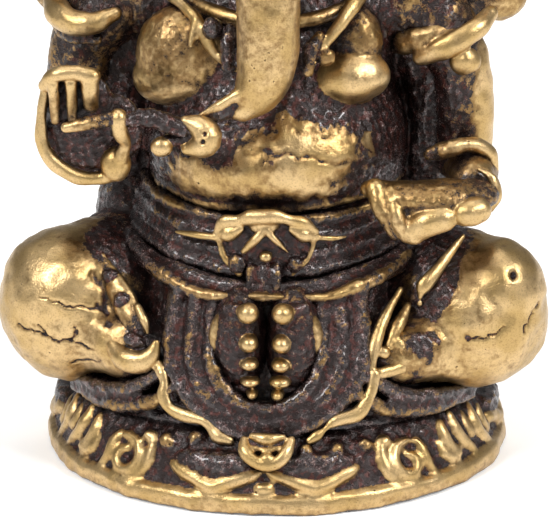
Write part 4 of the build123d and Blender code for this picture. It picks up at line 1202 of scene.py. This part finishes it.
class IDOL_OT_held(bpy.types.Operator):
    """Casts what the hands hold: the broken tusk, the sweet, the axe and the noose"""
    bl_idname = "idol.held"
    bl_label = "Held things"

    def execute(self, context):
        tusk = [
            tube([(-12.5, -11.4, 24.5), (-11.2, -11.5, 24.8), (-9.6, -11.4, 25.1)], (0.36, 0.42, 0.4),
                 (1.2, 0.5, 0.1)),
            tube([(-8.9, -11.0, 24.9), (-7.6, -11.2, 25.2), (-6.4, -11.3, 25.0), (-5.0, -11.2, 24.5)],
                 (0.5, 0.6, 0.66, 0.6), -0.2),
        ]
        melt("broken_tusk_rod", tusk, ["broken_tusk"], 0.08, seed=141, finish=ORNAMENT)
        sweet = [
            bulb((-6.45, -11.5, 23.4), (0.68, 0.6, 0.62), 1.3, sides=20),
            tube([(-5.0, -11.2, 25.0), (-4.1, -11.3, 24.7), (-3.55, -11.4, 24.1), (-3.9, -11.5, 23.55),
                  (-4.8, -11.4, 23.3)],
                 (0.4, 0.8, 1.0, 0.85, 0.45), 1.25, sides=24),
            tube([(-6.2, -11.3, 23.7), (-5.2, -11.2, 23.8), (-4.4, -11.2, 24.2)], (0.4, 0.36, 0.5), -0.2,
                 sides=14),
        ]
        pits = [([(-3.7, -12.3, 24.5), (-3.7, -12.3, 24.45)], 0.14, 0.25),
                ([(-3.8, -12.3, 24.0), (-3.8, -12.3, 23.95)], 0.14, 0.25)]
        melt("sweet_at_trunk_tip", sweet, ["sweet_ball"], 0.08, lumps=0.04, cuts=pits, seed=143,
             finish=ORNAMENT)
        shaft = [tube([(-15.2, -0.1, 33.4), (-15.2, -0.1, 40.0), (-15.2, -0.1, 46.6)], 0.45, 0.9),
                 bulb((-15.2, -0.1, 33.2), 0.65, 1.0, sides=16),
                 bulb((-15.2, -0.1, 46.7), 0.6, 1.0, sides=16)]
        melt("axe_shaft", shaft, ["axe_handle"], 0.1, lumps=0.03, seed=145, finish=ORNAMENT)
        blade = [bulb((-16.3, -0.1, 44.6), (1.5, 0.34, 1.3), 0.6),
                 tube([(-17.0, -0.1, 46.3), (-17.7, -0.1, 45.4), (-17.9, -0.1, 44.6), (-17.7, -0.1, 43.8),
                       (-17.0, -0.1, 42.9)],
                      (0.25, 0.5, 0.6, 0.5, 0.25), 1.2, 0.6, out=FRONT, sides=16),
                 tube([(-14.6, -0.1, 44.6), (-15.8, -0.1, 44.6)], (0.7, 0.7), 0.8, sides=16)]
        melt("axe_head", blade, ["axe_blade"], 0.1, lumps=0.04, seed=147, finish=ORNAMENT)
        grip = [tube([(15.2, -0.1, 34.8), (15.2, -0.1, 38.5), (15.2, -0.1, 42.6)], 0.45, 0.9),
                bulb((15.2, -0.1, 34.6), 0.65, 1.0, sides=16), bulb((15.2, -0.1, 42.9), 0.7, 1.0, sides=16)]
        melt("noose_grip", grip, ["noose_handle"], 0.1, lumps=0.03, seed=149, finish=ORNAMENT)
        turn = np.linspace(0, 2 * np.pi, 40, endpoint=False)
        strands = []
        for phase in (0.0, np.pi):
            twist = 0.26 * np.stack([np.cos(9 * turn + phase), np.sin(9 * turn + phase)])
            reach = 1.75 + twist[0]
            line = np.column_stack([15.2 + reach * np.sin(turn), -0.1 + twist[1],
                                    44.9 - reach * np.cos(turn)])
            strands.append(tube(line, 0.28, 0.9, sides=10, loop=True, out=FRONT, step=0.25))
        melt("noose_loop", strands, ["noose"], 0.09, relax=2, lumps=0.03, seed=151, finish=ORNAMENT)
        return {"FINISHED"}


class IDOL_OT_base_plate(bpy.types.Operator):
    """Gives the underside's closing plate its dull brass"""
    bl_idname = "idol.base_plate"
    bl_label = "Closing plate"

    def execute(self, context):
        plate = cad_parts["base_plate"]
        plate.data.materials.clear()
        plate.data.materials.append(brass(PLATE))
        return {"FINISHED"}


# Each lamp's name, place in metres, power in watts and width in metres.
LAMPS = (
    ("key_left", (-0.28, -0.3, 0.38), 2.0, 0.16),
    ("key_right", (0.32, -0.2, 0.34), 1.6, 0.14),
    ("top", (0.0, 0.05, 0.5), 0.7, 0.3),
)
LIT_POINT = np.array([0, 0, 15]) * MM
SEEN_POINT = np.array([-0.14, 0, 12.2]) * MM
FLOOR_REACH = 1.5
SENSOR = 36.0
WHITE = (1.0, 1.0, 1.0, 1.0)


def lamp(name, place, power, width):
    """A soft square lamp, turned to shine at the idol."""
    light = bpy.data.lights.new(name, "AREA")
    light.energy, light.shape, light.size = power, "SQUARE", width
    lit = added(name, light)
    lit.location = place
    lit.rotation_euler = look_along(LIT_POINT - place)


def look_along(direction):
    """The turn that points an object's -Z along a direction with its X level: heading, then dip."""
    x, y, z = unit(direction)
    return (np.pi / 2 + np.arcsin(z), 0.0, np.arctan2(-x, y))


class IDOL_OT_stage(bpy.types.Operator):
    """Sets the plain pale floor, the soft lights and the camera"""
    bl_idname = "idol.stage"
    bl_label = "Stage"

    def execute(self, context):
        stage = context.scene.idol_stage
        ground = np.array([(-1, -1, 0), (1, -1, 0), (1, 1, 0), (-1, 1, 0)]) * FLOOR_REACH
        mesh = bpy.data.meshes.new("floor")
        mesh.from_pydata([tuple(point) for point in ground], [], [(0, 1, 2, 3)])
        pale = bpy.data.materials.new("pale_floor")
        tree = Tree(pale)
        surface = tree.add("ShaderNodeBsdfPrincipled", {}, {
            "Base Color": (*stage.floor_colour, 1), "Roughness": 0.9,
            "Emission Color": WHITE, "Emission Strength": 0.2,
        })
        tree.add("ShaderNodeOutputMaterial", {}, {"Surface": surface})
        mesh.materials.append(pale)
        floor = added("floor", mesh)

        world = bpy.data.worlds.new("studio")
        context.scene.world = world
        sky = Tree(world)
        glow = sky.add("ShaderNodeBackground", {}, {"Color": WHITE, "Strength": 0.28})
        sky.add("ShaderNodeOutputWorld", {}, {"Surface": glow})
        for name, place, power, width in LAMPS:
            lamp(name, place, power, width)

        lens = bpy.data.cameras.new("camera")
        camera = added("camera", lens)
        out = np.array([np.sin(stage.azimuth) * np.cos(stage.elevation),
                        -np.cos(stage.azimuth) * np.cos(stage.elevation), np.sin(stage.elevation)])
        camera.location = SEEN_POINT + out * stage.distance
        camera.rotation_euler = look_along(-out)
        lens.sensor_width = SENSOR
        lens.lens = SENSOR * stage.distance / stage.view_width
        lens.clip_start, lens.clip_end = 0.01, 10.0
        context.scene.camera = camera
        context.scene.view_settings.view_transform = "Standard"
        return {"FINISHED"}


OPERATORS = (
    IDOL_OT_plinth, IDOL_OT_lap, IDOL_OT_knees, IDOL_OT_feet, IDOL_OT_hem, IDOL_OT_torso, IDOL_OT_belt,
    IDOL_OT_necklace, IDOL_OT_head, IDOL_OT_ears, IDOL_OT_crown, IDOL_OT_raised_arm, IDOL_OT_resting_arm,
    IDOL_OT_rear_arms, IDOL_OT_held, IDOL_OT_base_plate, IDOL_OT_stage,
)
GROUPS = {"idol_brass": BrassSettings, "idol_plinth": PlinthSettings, "idol_body": BodySettings,
          "idol_stage": StageSettings}


class IDOL_PT_pieces(bpy.types.Panel):
    """Lists the idol's pieces"""
    bl_idname = "IDOL_PT_pieces"
    bl_label = "Brass Idol"
    bl_space_type = "VIEW_3D"
    bl_region_type = "UI"
    bl_category = "Idol"

    def draw(self, context):
        for group in GROUPS:
            box = self.layout.box()
            settings = getattr(context.scene, group)
            for name in settings.__annotations__:
                box.prop(settings, name)
        for operator in OPERATORS:
            self.layout.operator(operator.bl_idname)


def register():
    for kind in (*GROUPS.values(), *OPERATORS, IDOL_PT_pieces):
        bpy.utils.register_class(kind)
    for name, kind in GROUPS.items():
        setattr(bpy.types.Scene, name, PointerProperty(type=kind))


def unregister():
    for name in GROUPS:
        delattr(bpy.types.Scene, name)
    for kind in reversed((*GROUPS.values(), *OPERATORS, IDOL_PT_pieces)):
        bpy.utils.unregister_class(kind)


def main():
    """Registers the classes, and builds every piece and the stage."""
    register()
    for operator in OPERATORS:
        getattr(bpy.ops.idol, operator.bl_idname.split(".")[1])()


if __name__ == "__main__":
    main()
